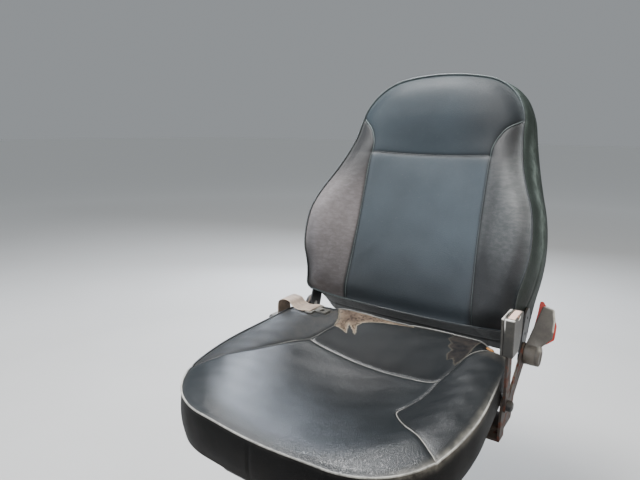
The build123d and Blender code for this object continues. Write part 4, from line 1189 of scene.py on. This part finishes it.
def wovenMaterial(name, look):
    # narrow-woven polyester: a herringbone of fine ribs, drawn 3 mm apart to show, with pale
    # rubbed selvedges and dust in the ribs; matt, with a soft sheen of its own
    material, tree, shader = startMaterial(name)
    place = objectPlace(tree)
    zigzag = math2(tree, "PINGPONG", field(tree, "across"), 5.7 * mm)
    phase = math2(tree, "MULTIPLY", math2(tree, "ADD", field(tree, "runLength"), zigzag), 2 * math.pi / (3 * mm))
    ribs = ramp(tree, math2(tree, "SINE", phase), -1, 1)
    colour = mixColour(tree, ribs, linear(look["base"]), linear(look["light"]))
    patches = ramp(tree, noise(tree, place, 45, 6, 0.65), 0.35, 0.65)
    colour = mixColour(tree, math2(tree, "MULTIPLY", patches, look["dustShare"]), colour, linear(look["dust"]))
    selvedge = ramp(tree, math2(tree, "ABSOLUTE", field(tree, "across")), 19.5 * mm, 22.5 * mm)
    colour = mixColour(tree, math2(tree, "MULTIPLY", selvedge, 0.6), colour, linear(look["edge"]))
    tree.links.new(colour, shader.inputs["Base Color"])
    shader.inputs["Roughness"].default_value = 0.85
    shader.inputs["Sheen Weight"].default_value = 0.15
    tree.links.new(bump(tree, ribs, 0.0004, 0.7), shader.inputs["Normal"])
    return material


look = {
    "vinyl": {"base": "#101416", "light": "#171c1f", "bolster": "#171a1c", "fadedAndSheen": "#3a3836", "skirt": "#121110",
              "dust": "#857d70", "dustShare": 0.45, "wearAndHighlight": "#a9a498", "wearShare": 0.7, "sheen": 0.0,
              "specular": 0.42, "rough": 0.31, "grain": 2.0, "creaseDepth": 0.35,
              "mottle": 0.0},
    # a shaded copy of the seat's vinyl for the cushion's skirt: darker colours that are painted shade, and little gloss
    "shadedSkirtVinyl": {"base": "#0c0b0a", "light": "#100f0e", "bolster": "#171a1c", "fadedAndSheen": "#3a3836",
                   "skirt": "#0d0c0b", "dust": "#857d70", "dustShare": 0.45, "wearAndHighlight": "#a9a498", "wearShare": 0.7,
                   "sheen": 0.0, "specular": 0.09, "rough": 0.5, "grain": 2.0,
                   "creaseDepth": 0.8, "mottle": 0.0},
    "backVinyl": {"base": "#2a343a", "light": "#343f45", "bolster": "#3a3d3c", "fadedAndSheen": "#686261",
                  "skirt": "#26302c", "dust": "#7f7870", "dustShare": 0.25, "wearAndHighlight": "#6d7776",
                  "wearShare": 0.35, "sheen": 0.03, "specular": 0.45, "rough": 0.47, "grain": 2.0,
                  "creaseDepth": 1.3, "mottle": 0.16},
}
look["rearVinyl"] = dict(look["vinyl"], specular=0.13, rough=0.42, bolster="#242628", dustShare=0.25)
look["headVinyl"] = dict(look["backVinyl"], specular=0.22)
# the gusset's copy: its pale wear colour also paints the highlight streak
look["gussetVinyl"] = dict(look["backVinyl"], specular=0.1, skirt="#2f3733", wearAndHighlight="#8b9a95", wearShare=0.9,
                           sheen=0.0)

finishes = {
    "vinyl": vinylMaterial("embossedVinylSeat", look["vinyl"]),
    "shadedSkirtVinyl": vinylMaterial("embossedVinylSkirtShaded", look["shadedSkirtVinyl"]),
    "rearVinyl": vinylMaterial("embossedVinylRear", look["rearVinyl"]),
    "backVinyl": vinylMaterial("embossedVinylBack", look["backVinyl"]),
    "headVinyl": vinylMaterial("embossedVinylHead", look["headVinyl"]),
    "gussetVinyl": vinylMaterial("embossedVinylGusset", look["gussetVinyl"]),
    "piping": pipingMaterial("vinylPiping", {"base": "#16191b", "rubbed": "#a5a39b", "patch": 21}),
    "backPiping": pipingMaterial("vinylPipingBack", {"base": "#14191a", "rubbed": "#5f6b6a", "patch": 14}),
    "thread": pipingThread("bondedNylonThread"),
    "blackPaint": enamelMaterial("blackEnamel", {"base": "#1b1c1d", "light": "#262727", "dust": "#6f6558",
                                 "dustShare": 0.55, "chipScale": 38, "chipLow": 0.66, "rust": "#4a2a18",
                                 "rustLight": "#7a4526", "rough": 0.42}),
    "rustedPaint": enamelMaterial("rustedEnamel", {"base": "#2a2421", "light": "#3a302a", "dust": "#7c6b59",
                                  "dustShare": 0.5, "chipScale": 55, "chipLow": 0.52, "rust": "#3b1f16",
                                  "rustLight": "#5e3424", "rough": 0.6}),
    "damperPaint": enamelMaterial("glossEnamel", {"base": "#17191b", "light": "#1e2124", "dust": "#6f6558",
                                  "dustShare": 0.4, "chipScale": 30, "chipLow": 0.72, "rust": "#4a2a18",
                                  "rustLight": "#7a4526", "rough": 0.25}),
    "bareSteel": steelMaterial("zincPlatedSteel", {"base": "#8d8b85", "light": "#b4b2ab", "bloom": "#5e4a38",
                               "bloomLow": 0.5, "rough": 0.38, "stretch": (1, 1, 1)}),
    "springSteel": steelMaterial("phosphatedSpringWire", {"base": "#3a3b3d", "light": "#55575a",
                                 "bloom": "#4c3626", "bloomLow": 0.56, "rough": 0.42, "stretch": (1, 1, 1)}),
    "blackPlastic": mouldedMaterial("mouldedBlackAbs", {"base": "#1d1e1f", "light": "#282a2b", "dust": "#8a8273",
                                    "dustShare": 0.4, "smear": 0.05, "rough": 0.5,
                                    "edge": "#b9b6ae"}),
    "greyPlastic": mouldedMaterial("mouldedGreyAbs", {"base": "#4b4742", "light": "#5a544d", "dust": "#8a8578",
                                   "dustShare": 0.4, "smear": 0.25, "rough": 0.55,
                                    "edge": "#cfccbf"}),
    "redPlastic": mouldedMaterial("mouldedRedAbs", {"base": "#c02a1e", "light": "#d43a2a", "dust": "#a06a5a",
                                  "dustShare": 0.3, "smear": 0.2, "rough": 0.4,
                                    "edge": "#e0796a"}),
    "fadedRed": mouldedMaterial("sunFadedRedAbs", {"base": "#c98f7b", "light": "#dba792", "dust": "#b9a394",
                                "dustShare": 0.5, "smear": 0.3, "rough": 0.6,
                                    "edge": "#ecd2c6"}),
    "nylon": mouldedMaterial("castNylon", {"base": "#b8b2a2", "light": "#c9c4b5", "dust": "#6f6558",
                             "dustShare": 0.5, "smear": 0.4, "rough": 0.45,
                                    "edge": "#d8d4c8"}),
    "webbing": wovenMaterial("wovenPolyester", {"base": "#564b42", "light": "#7a6c5e", "dust": "#a8937f",
                             "dustShare": 0.7, "edge": "#c7b49f"}),
    "buckleAbs": mouldedMaterial("mouldedBuckleAbs", {"base": "#343432", "light": "#403f3c", "dust": "#8a8273",
                                 "dustShare": 0.4, "smear": 0.3, "rough": 0.42, "edge": "#e6e3dc"}),
}

slotFinish = {
    "black_paint": "blackPaint", "bare_steel": "bareSteel", "spring_steel": "springSteel",
    "nylon": "nylon", "black_plastic": "blackPlastic", "rusted_paint": "rustedPaint",
    "damper_paint": "damperPaint", "black_vinyl": "vinyl", "grey_plastic": "greyPlastic",
    "red_plastic": "redPlastic", "faded_red_plastic": "fadedRed", "webbing": "webbing",
}
slotOf = {part["node"]: part["material_slot"] for part in frame["record"]["subparts"]}
for name, node in frame["nodes"].items():
    node.data.materials.clear()
    node.data.materials.append(finishes[slotFinish[slotOf[name]]])
print("finishes on", len(frame["nodes"]), "nodes")


# Dress the seat

finishPiece(cushionCover, "seat", finishes["vinyl"], ["cushion"])
finishPiece(backCover, "backrest", finishes["backVinyl"], ["back_cushion"])


def dullPanels(piece, part, skirtFinish, panelFinish, panel):
    # panels with their own copy of the vinyl, each with less gloss: the skirt beyond the rim, on the cushion a near
    # black copy that is painted shade, and one panel of the face
    rows, columns = part["grid"].shape[:2]
    own = np.zeros((rows - 1, columns), np.int32)
    own[panel[:-1]] = 2
    own[len(part["shares"]) - 1:] = 1
    finish = np.zeros(len(piece.data.polygons), np.int32)
    finish[:own.size] = own.ravel()
    piece.data.materials.append(skirtFinish)
    piece.data.materials.append(panelFinish)
    piece.data.polygons.foreach_set("material_index", finish)


dullPanels(cushionCover, cushion, finishes["shadedSkirtVinyl"], finishes["rearVinyl"], cushion["dullPanel"])
dullPanels(backCover, back, finishes["gussetVinyl"], finishes["headVinyl"], back["headPanel"])


def seatPiping():
    # the cord in its sleeve all round the face, a little outside the rim; worn in front,
    # at the sitter's left and along the rear edge
    loop = cushion["grid"][len(cushion["shares"]) - 1]
    outward = loop[:, :2] - cushion["middle"]
    outward /= np.linalg.norm(outward, axis=1)[:, None]
    path = loop.copy()
    path[:, :2] += 0.8 * outward
    path[:, 2] += 1.0
    piece = tubePiece("cushionPiping", path * mm, 1.4 * mm, 12, closed=True)
    x, y = path[:, 0], path[:, 1]
    rubbed = 0.85 * rise(-y, 170, 240) + 0.8 * rise(x, 190, 235) * rise(-y, -60, 60) + 0.4 * rise(y, 130, 158)
    saveField(piece, "rubbed", np.repeat(np.clip(rubbed, 0.1, 0.9), 12))
    return piece


def backPiping():
    # a flat top-stitched seam: a thin cord, worn only where the head and the lower corners rub
    loop = back["loop"]
    outward = loop - np.array([*back["middle"], 0])
    outward[:, 2] = 0
    outward /= np.linalg.norm(outward, axis=1)[:, None]
    path = back["rim"] + fromBack(outward * 0.7) - fromBack(outward * 0)
    lean = math.radians(back["lean"])
    out = np.array([0, -math.cos(lean), math.sin(lean)])
    piece = tubePiece("backPiping", (path + 0.5 * out) * mm, 1.7 * mm, 12, closed=True, up=out)
    v = loop[:, 1]
    rubbed = 0.5 * rise(-loop[:, 0], 40, 140) * rise(-v, -40, 5) + 0.5 * rise(v, 380, 470) + 0.12 * rise(v, 0, 60)
    saveField(piece, "rubbed", np.repeat(np.clip(rubbed, 0, 1), 12))
    return piece


finishPiece(seatPiping(), "seat", finishes["piping"])
finishPiece(backPiping(), "backrest", finishes["backPiping"])


# Raised seams and their stitches

welts = {
    "radius": 0.75,
    "pitch": 5.2,
    "stitchLength": 3.7,
    "stitchRadius": 0.42,
    "stitchOffset": 3.4,
}


def weltPiece(name, run, place, up, rubbed, radius):
    # a tube along a seam, its ends drawn down into the cover
    path = place(run[:, 0], run[:, 1], radius * 0.25)
    share = np.linspace(0, 1, len(run))
    ends = np.minimum(rise(share, 0, 0.03), rise(1 - share, 0, 0.03))
    piece = tubePiece(name, path * mm, radius * mm * (0.3 + 0.7 * ends), 8, up=up)
    values = np.broadcast_to(np.asarray(rubbed, float), (len(run),))
    saveField(piece, "rubbed", np.concatenate([np.repeat(values, 8), [0, 0]]))
    return piece


def stitchPiece(name, runs, up, settings):
    # capsules along runs given in metres:
    # centre + half x * tangent + radius sqrt(1 - x4) (cos a * side + sin a * up)
    centres, tangents = [], []
    for run in runs:
        length = np.sqrt((np.diff(run, axis=0) ** 2).sum(1)).sum()
        spots = evenRun(run, max(3, int(length / (settings["pitch"] * mm))))
        centres.append(0.5 * (spots[1:] + spots[:-1]))
        tangents.append(spots[1:] - spots[:-1])
    centre, tangent = np.concatenate(centres), np.concatenate(tangents)
    tangent /= np.linalg.norm(tangent, axis=1)[:, None]
    side = np.cross(tangent, np.broadcast_to(np.asarray(up, float), tangent.shape))
    side /= np.linalg.norm(side, axis=1)[:, None]
    top = np.cross(side, tangent)
    x = np.array([-1.0, -0.75, 0.0, 0.75, 1.0])
    angle = np.arange(6) / 6 * 2 * math.pi
    round_ = np.sqrt(np.clip(1.02 - x ** 4, 0, 1))
    ring = (np.cos(angle)[:, None] * side[:, None, None, :] + np.sin(angle)[:, None] * top[:, None, None, :])
    points = (centre[:, None, None, :] + settings["stitchLength"] / 2 * mm * x[:, None, None] * tangent[:, None, None, :]
              + settings["stitchRadius"] * mm * round_[:, None, None] * ring)
    quads = gridFaces(len(x), 6)
    low, high = np.arange(6)[None, ::-1], 24 + np.arange(6)[None]
    step = np.arange(len(centre)) * 30
    faces = (quads[None] + step[:, None, None]).reshape(-1, 4).tolist()
    faces += (low + step[:, None]).tolist() + (high + step[:, None]).tolist()
    return meshPiece(name, points.reshape(-1, 3), faces)


def sideStep(run, distance):
    # a run moved sideways in its own plane
    ahead = np.gradient(run, axis=0)
    ahead /= np.linalg.norm(ahead, axis=1)[:, None]
    return run + distance * np.stack([-ahead[:, 1], ahead[:, 0]], 1)


def dressSeams():
    seams = cushionSeams()
    up = (0, 0, 1)
    share = np.linspace(0, 1, 70)
    pieces = [
        weltPiece("crossWelt", seams["crossSeam"], onCushion, up, 0.7 - 0.2 * share, welts["radius"]),
        weltPiece("rightWelt", seams["rightSeam"], onCushion, up,
                  0.7 - 0.6 * rise(share, 0.36, 0.44) + 0.35 * rise(share, 0.78, 0.86), welts["radius"]),
        weltPiece("leftWelt", seams["leftSeam"], onCushion, up,
                  0.12 + 0.3 * rise(share, 0.3, 0.42) - 0.2 * rise(share, 0.52, 0.6), welts["radius"])]
    finishPiece(joinPieces("cushionWelts", pieces), "seat", finishes["piping"])
    runs = []
    for key, run in seams.items():
        for way in (-1, 1):
            moved = sideStep(run, way * welts["stitchOffset"])
            runs.append(onCushion(moved[:, 0], moved[:, 1], 0.25) * mm)
    finishPiece(stitchPiece("cushionStitches", runs[:2] + runs[2:3] + runs[4:5], up, welts), "seat",
                finishes["thread"])
    lean = math.radians(back["lean"])
    out = (0, -math.cos(lean), math.sin(lean))
    seams = backSeams()
    pieces, runs = [], []
    for key, run in seams.items():
        rubbed = 0.75 if "Curve" in key else 0.12 if key == "headSeam" else 0.3
        if key == "leftSeam":
            rubbed = 0.55
        radius = 0.8 if key == "headSeam" else 1.0
        pieces.append(weltPiece(key + "Welt", run, onBack, out, rubbed, radius))
        offset = welts["stitchOffset"] * (1 if key in ("leftSeam", "leftCurve") else -1)
        moved = sideStep(run, offset)
        runs.append(onBack(moved[:, 0], moved[:, 1], 0.2) * mm)
    finishPiece(joinPieces("backWelts", pieces), "backrest", finishes["backPiping"])
    finishPiece(stitchPiece("backStitches", runs, out, welts), "backrest", finishes["thread"])


dressSeams()
print("seams and stitches made")


# Belt buckle: two moulded halves with the tongue's slot, the button's well and a thumb notch

buckle = {
    "side": [(14.2, 475.8), (69.8, 475.8), (69.8, 434), (58, 410.3), (22, 410.3)],
    "corner": 3.0,
    "bevel": 1.3,
    "halves": [("leftHalf", 238.6, 4.2), ("rightHalf", 243.2, 15.8)],
    "slot": ((241.0, 244.2), (26, 52), (436, 480)),
    "well": ((245.8, 257.4), (19.7, 66.3), (463.7, 480)),
    "button": ((246.2, 257.0), (20.1, 65.9), 464.2, 11.4),
    "notch": {"y": 41, "z": 477, "radius": 8, "from": 256.6},
    "notchLip": 258.9,
}


def alongX(first):
    # outline (y, z) and depth to x, y, z, with the depth along x from first
    return lambda rows: np.stack([first + rows[..., 2], rows[..., 0], rows[..., 1]], -1)


def blockPiece(name, spans, bevel=0.0):
    (x0, x1), (y0, y1), (z0, z1) = spans
    return slabPiece(name, [(y0, z0), (y1, z0), (y1, z1), (y0, z1)], x1 - x0, bevel, alongX(x0), 2)


def buildBuckle():
    loop = roundedLoop(buckle["side"], buckle["corner"])
    notch = buckle["notch"]
    halves = []
    for name, first, depth in buckle["halves"]:
        half = slabPiece(name, loop, depth, buckle["bevel"], alongX(first))
        half = combine(half, blockPiece("slotForm", buckle["slot"]), "DIFFERENCE")
        if name == "rightHalf":
            half = combine(half, blockPiece("wellForm", buckle["well"]), "DIFFERENCE")
            form = profilePiece("notchForm", [(0, notch["radius"] * mm), (0.006, notch["radius"] * mm)],
                                (notch["from"] * mm, notch["y"] * mm, notch["z"] * mm), (1, 0, 0), 28)
            half = combine(half, form, "DIFFERENCE")
        p = meshPoints(half) / mm
        # pale front edges: rubbed wear together with a painted highlight along the bevels
        front, high = rise(-p[:, 1], -17.2, -15.6), rise(p[:, 2], 472.8, 474.4)
        if name == "leftHalf":
            rubbed = np.maximum(front * high, 0.6 * rise(p[:, 2], 475.2, 475.6))
        else:
            seamSide = rise(-p[:, 0], -246.2, -244.8)
            rubbed = np.maximum(front * high, 0.95 * front * seamSide * rise(p[:, 2], 418, 424))
        saveField(half, "rubbed", rubbed)
        halves.append(half)
    turn = np.linspace(-0.12, -0.86, 24) * math.pi
    lip = np.stack([np.full(24, buckle["notchLip"]), notch["y"] + notch["radius"] * np.cos(turn),
                    notch["z"] + notch["radius"] * np.sin(turn)], 1)
    lip = tubePiece("notchLip", lip * mm, 0.55 * mm * np.sin(np.linspace(0.15, math.pi - 0.15, 24)) ** 0.5, 8,
                    up=(1, 0, 0))
    saveField(lip, "rubbed", np.full(len(lip.data.vertices), 0.9))
    case = joinPieces("buckleCase", halves + [lip])
    finishPiece(case, "seat", finishes["buckleAbs"], ["belt_buckle"])
    (x0, x1), (y0, y1), low, deep = buckle["button"]
    top = roundedLoop([(x0, y0), (x1, y0), (x1, y1), (x0, y1)], 1.6, 4)
    button = slabPiece("pressButton", top, deep, 1.0,
                       lambda rows: np.stack([rows[..., 0], rows[..., 1], low + deep - rows[..., 2]], -1))
    p = meshPoints(button) / mm
    saveField(button, "rubbed", rise(p[:, 2], 474.2, 475.2) * 0.6)
    finishPiece(button, "seat", finishes["fadedRed"], ["buckle_button"])


# Recliner lever: the grey paddle on its hub, and the red half behind it

lever = {
    "origin": (242.5, 194, 351),
    "lean": 20,
    "front": 8,
    "thickness": 8.7,
    "points": [(0.4, 2), (0.4, 17), (19, 93.8), (38, 89.8), (42.8, 68), (42.8, 37), (27, 18), (27, 2)],
    "corner": 4.5,
    "bevel": 1.7,
    "redPoints": [(8, 24), (7, 46), (10, 76), (11, 101), (17, 101), (25, 90), (37, 87), (41, 72), (45.5, 62),
                  (45.5, 36), (33, 24)],
    "redThickness": 3.9,
    "hub": [(6.0, 0.05), (6.0, 6.4), (0.2, 6.4), (0.2, 18.0), (0.9, 18.8), (19.0, 18.8), (19.6, 18.3), (20.4, 18.3),
            (21.0, 18.8), (25.4, 18.8), (26.9, 18.1), (27.7, 16.6), (27.7, 10.0), (26.9, 9.2), (26.9, 0.05)],
}


def onLever(front):
    # a across, b up the paddle and the depth behind its face, leaning back about x
    lean = math.radians(lever["lean"])
    x0, y0, z0 = lever["origin"]

    def place(rows):
        a, b, w = rows[..., 0], rows[..., 1], front - rows[..., 2]
        return np.stack([x0 + a, y0 + b * math.sin(lean) - w * math.cos(lean),
                         z0 + b * math.cos(lean) + w * math.sin(lean)], -1)
    return place


def buildLever():
    loop = roundedLoop(lever["points"], lever["corner"])
    paddle = slabPiece("leverPaddle", loop, lever["thickness"], lever["bevel"], onLever(lever["front"]), 5)
    hub = profilePiece("leverHub", np.array(lever["hub"]) * mm, np.array(lever["origin"]) * mm, (1, 0, 0), 64)
    paddle = combine(paddle, hub, "UNION")
    lean = math.radians(lever["lean"])
    p = meshPoints(paddle) / mm - np.array(lever["origin"])
    a, b = p[:, 0], p[:, 1] * math.sin(lean) + p[:, 2] * math.cos(lean)
    edge = distanceTo(np.array([(20, 93.5), (37.5, 89.5), (42.5, 68), (42.8, 50)], float), a, b)[0]
    ending = distanceTo(np.array([(24, 17), (27, 12)], float), a, b)[0]
    saveField(paddle, "rubbed", np.maximum(hill(edge, 1.7), 0.5 * hill(ending, 3)))
    finishPiece(paddle, "backrest", finishes["greyPlastic"], ["recliner_lever"])
    red = slabPiece("leverLiner", roundedLoop(lever["redPoints"], 3.4), lever["redThickness"], 1.1,
                    onLever(lever["front"] - 9.05))
    finishPiece(red, "backrest", finishes["redPlastic"], ["recliner_lever_red"])


# Extension springs: close-wound coils whose ends run in to the middle and loop round the bars

spring = {
    "x": 45,
    "z": 57.6,
    "coil": (-72, 58),
    "radius": 13.9,
    "wire": 2.0,
    "turns": 31,
    "pointsPerTurn": 20,
    "bars": [(84.0, 11.0), (-102.0, 7.0)],
    "loopGap": 0.4,
}


def springRun(x0):
    # coil: (x0 + r cos a, first + pitch a, z + r sin a), r falling to 0 over the last half
    # turns; then straight to each bar and once round it
    first, last = spring["coil"]
    count = spring["turns"] * spring["pointsPerTurn"]
    a = np.linspace(0, spring["turns"] * 2 * math.pi, count + 1)
    ends = rise(np.minimum(a, a[-1] - a), 0, math.pi)
    y = first + (last - first) * a / a[-1]
    coil = np.stack([x0 + ends * spring["radius"] * np.cos(a), y, spring["z"] + ends * spring["radius"] * np.sin(a)], 1)
    parts, ups = [coil], [np.tile([0.0, 1.0, 0.0], (len(coil), 1))]
    for way, (barY, barRadius) in zip((1, -1), spring["bars"]):
        reach = barRadius + spring["loopGap"] + spring["wire"]
        turn = np.linspace(math.pi, -0.72 * math.pi, 34)
        ring = np.stack([np.full(34, x0), barY + way * reach * np.cos(turn), spring["z"] + reach * np.sin(turn)], 1)
        start = (last if way > 0 else first) + way * 2
        stop = barY - way * (reach + 1.5)
        shank = np.stack([np.full(5, x0), np.linspace(start, stop, 5), np.full(5, spring["z"])], 1)
        side = np.concatenate([shank, ring])
        up = np.tile([1.0, 0.0, 0.0], (len(side), 1))
        parts = parts + [side] if way > 0 else [side[::-1]] + parts
        ups = ups + [up] if way > 0 else [up] + ups
    return np.concatenate(parts), np.concatenate(ups)


def buildSprings():
    for node, side in (("spring_left", 1), ("spring_right", -1)):
        run, up = springRun(side * spring["x"])
        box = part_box(node)
        run[:, 0] += 1000 * (box[0][0] + box[1][0]) / 2 - side * spring["x"]
        piece = tubePiece("coil" + node[6:].title(), run * mm, spring["wire"] * mm, 8, up=up)
        finishPiece(piece, "base", finishes["springSteel"], [node])


# Belt webbing: a ribbon along its route, with the ribs of the weave in its finish

strap = {
    "route": [(-264.3, 347.6), (-264.3, 366), (-261.5, 380), (-252, 386), (-240, 386.2), (-231, 383.8),
              (-223, 376.4), (-214, 372.2), (-204, 371.6), (-196, 372.2), (-189, 374.1), (-181, 374.4), (-177, 374.4)],
    "y": 112,
    "width": 45.6,
    "thickness": 1.7,
}


def buildStrap():
    # p(s, a) = route(s) + half width c |c|^-0.8 across + half thickness s |s|^-0.5 along the normal
    route = smoothCurve(strap["route"], 90)
    path = np.stack([route[:, 0], np.full(90, float(strap["y"])), route[:, 1]], 1)
    ahead = np.gradient(route, axis=0)
    ahead /= np.linalg.norm(ahead, axis=1)[:, None]
    normal = np.stack([-ahead[:, 1], np.zeros(90), ahead[:, 0]], 1)
    angle = (np.arange(28) + 0.5) / 28 * 2 * math.pi
    c, s = np.cos(angle), np.sin(angle)
    across = strap["width"] / 2 * np.sign(c) * np.abs(c) ** 0.35
    lift = strap["thickness"] / 2 * np.sign(s) * np.abs(s) ** 0.4
    length = np.linspace(0, 1, 90)
    ripples = 0.5 * np.sin(length * 23 + 0.6)[:, None] * np.sin(across / 14)[None]
    points = path[:, None] + across[None, :, None] * np.array([0, 1.0, 0]) \
        + (lift[None] + ripples * hill(length - 0.45, 0.3)[:, None])[..., None] * normal[:, None]
    faces = gridFaces(90, 28).tolist() + [list(range(28))[::-1], list(range(89 * 28, 90 * 28))]
    piece = meshPiece("beltStrap", points.reshape(-1, 3) * mm, faces)
    steps = np.linalg.norm(np.diff(path, axis=0), axis=1)
    saveField(piece, "runLength", np.repeat(np.concatenate([[0], np.cumsum(steps)]), 28) * mm)
    saveField(piece, "across", np.tile(across, 90) * mm)
    finishPiece(piece, "seat", finishes["webbing"], ["belt_webbing"])


buildBuckle()
buildLever()
buildSprings()
buildStrap()
print("buckle, lever, springs and strap made")


# Foam showing at the cushion's torn rear corner

crumb = {
    "middle": (190, 141, 353),
    "size": (13, 17, 13),
    "rings": 26,
    "columns": 48,
}


def foamMaterial():
    # polyurethane foam, cut open and gone orange with age: matt, with open cells 1 mm across
    material, tree, shader = startMaterial("agedPolyurethaneFoam")
    place = objectPlace(tree)
    colour = mixColour(tree, ramp(tree, noise(tree, place, 140, 5), 0.35, 0.65), linear("#8c5a2a"), linear("#ad7a44"))
    pores = ramp(tree, noise(tree, place, 1 / (1.0 * mm), 2), 0.42, 0.5)
    # darker in the pores: painted shade in the open cells
    colour = mixColour(tree, ramp(tree, pores, 0, 1, 0.5, 0.0), colour, linear("#5e3c1e"))
    tree.links.new(colour, shader.inputs["Base Color"])
    shader.inputs["Roughness"].default_value = 0.95
    tree.links.new(bump(tree, pores, 0.0006, 0.8), shader.inputs["Normal"])
    return material


def buildCrumb():
    # a lump: middle + size * direction * (1 + ripples of its own latitude and longitude)
    tilt = np.linspace(0, math.pi, crumb["rings"] + 2)[1:-1, None]
    turn = np.linspace(0, 2 * math.pi, crumb["columns"], endpoint=False)[None]
    swell = 1 + np.sin(tilt) * (0.07 * np.sin(3 * turn + 2 * tilt) + 0.05 * np.sin(5 * turn - 4 * tilt)
                                + 0.03 * np.sin(9 * turn + 7 * tilt))
    way = np.stack([np.sin(tilt) * np.cos(turn), np.sin(tilt) * np.sin(turn), np.cos(tilt) + 0 * turn], -1)
    middle, size = np.array(crumb["middle"], float), np.array(crumb["size"], float)
    rings = middle + size * way * swell[..., None]
    ends = middle + np.array([[0, 0, size[2]], [0, 0, -size[2]]])
    return shellPiece("foamCrumb", rings * mm, ends[0] * mm, ends[1] * mm)


finishPiece(buildCrumb(), "seat", foamMaterial())
print("foam made")


# Camera and light

view = {"place": (0.42489, -0.75259, 0.75789), "yaw": 34.41, "pitch": 12.38, "roll": -0.57,
        "focalPixels": 509.02, "frameWidth": 640}


def placeCamera():
    # the matrix from yaw about Z, pitch below level and roll; lens = focal pixels * 36 / width
    yaw, pitch, roll = (math.radians(view[key]) for key in ("yaw", "pitch", "roll"))
    ahead = Vector((-math.sin(yaw) * math.cos(pitch), math.cos(yaw) * math.cos(pitch), -math.sin(pitch)))
    right = Vector((math.cos(yaw), math.sin(yaw), 0))
    down = ahead.cross(right)
    turned = math.cos(roll) * right + math.sin(roll) * down
    below = -math.sin(roll) * right + math.cos(roll) * down
    camera = bpy.data.objects.new("seatCamera", bpy.data.cameras.new("seatCamera"))
    bpy.context.scene.collection.objects.link(camera)
    camera.data.lens = view["focalPixels"] * 36 / view["frameWidth"]
    camera.data.sensor_width = 36
    camera.data.clip_start = 0.01
    turn = Matrix((turned, -below, -ahead)).transposed().to_4x4()
    camera.matrix_world = Matrix.Translation(view["place"]) @ turn
    bpy.context.scene.camera = camera


def areaLight(name, place, target, size, power, colour):
    light = bpy.data.lights.new(name, "AREA")
    light.shape = "RECTANGLE"
    light.size, light.size_y = size
    light.energy = power
    light.color = linear(colour, alpha=False)
    lamp = bpy.data.objects.new(name, light)
    bpy.context.scene.collection.objects.link(lamp)
    lamp.location = place
    lamp.visible_camera = False
    lamp.rotation_euler = (Vector(target) - Vector(place)).to_track_quat("-Z", "Y").to_euler()


def studio():
    half = 30.0
    floor = meshPiece("studioFloor", np.array([(-half, -half, 0), (half, -half, 0), (half, half, 0),
                                               (-half, half, 0)]), [(0, 1, 2, 3)], False, closed=False)
    material, tree, shader = startMaterial("paintedFloor")
    place = objectPlace(tree)
    away = addNode(tree, "ShaderNodeVectorMath", {"operation": "LENGTH"}, Vector=place).outputs["Value"]
    colour = mixColour(tree, noise(tree, place, 3, 3), linear("#a9a7a3"), linear("#b2b0ac"))
    # paler further from the seat: painted light that evens the floor's brightness out to its far edges
    colour = mixColour(tree, ramp(tree, away, 1.3, 5), colour, linear("#fbfbf9"))
    tree.links.new(colour, shader.inputs["Base Color"])
    shader.inputs["Roughness"].default_value = 0.8
    floor.data.materials.append(material)
    world = bpy.data.worlds.new("studioAir")
    bpy.context.scene.world = world
    world.use_nodes = True
    ground = world.node_tree.nodes["Background"]
    ground.inputs["Color"].default_value = linear("#dfe5ea")
    ground.inputs["Strength"].default_value = 0.4
    areaLight("rearWindow", (-0.62, 1.67, 1.58), (-0.15, -0.12, 0.36), (0.75, 0.85), 74, "#e6f0ff")
    areaLight("lowWindow", (-1.15, 1.4, 0.72), (0, -0.2, 0.34), (0.8, 0.5), 14, "#e6f0ff")
    areaLight("leftWindow", (-1.7, -0.9, 1.3), (0, 0.1, 0.55), (1.6, 1.2), 26, "#ecf3ff")
    areaLight("overhead", (-0.48, 0.2, 2.35), (0.1, -0.15, 0.36), (0.6, 0.6), 88, "#ffffff")
    areaLight("rightWindow", (1.7, 0.1, 1.1), (0.15, 0.1, 0.5), (0.8, 1.0), 11, "#fff6ea")
    areaLight("sideWindow", (0.95, -1.4, 1.15), (-0.2, 0.2, 0.55), (0.6, 0.8), 9, "#fff8f0")
    areaLight("windscreen", (-0.1, -2.2, 1.95), (0, 0.25, 0.75), (2.4, 0.9), 33, "#f1f5ff")


placeCamera()
studio()
print("camera and light set")
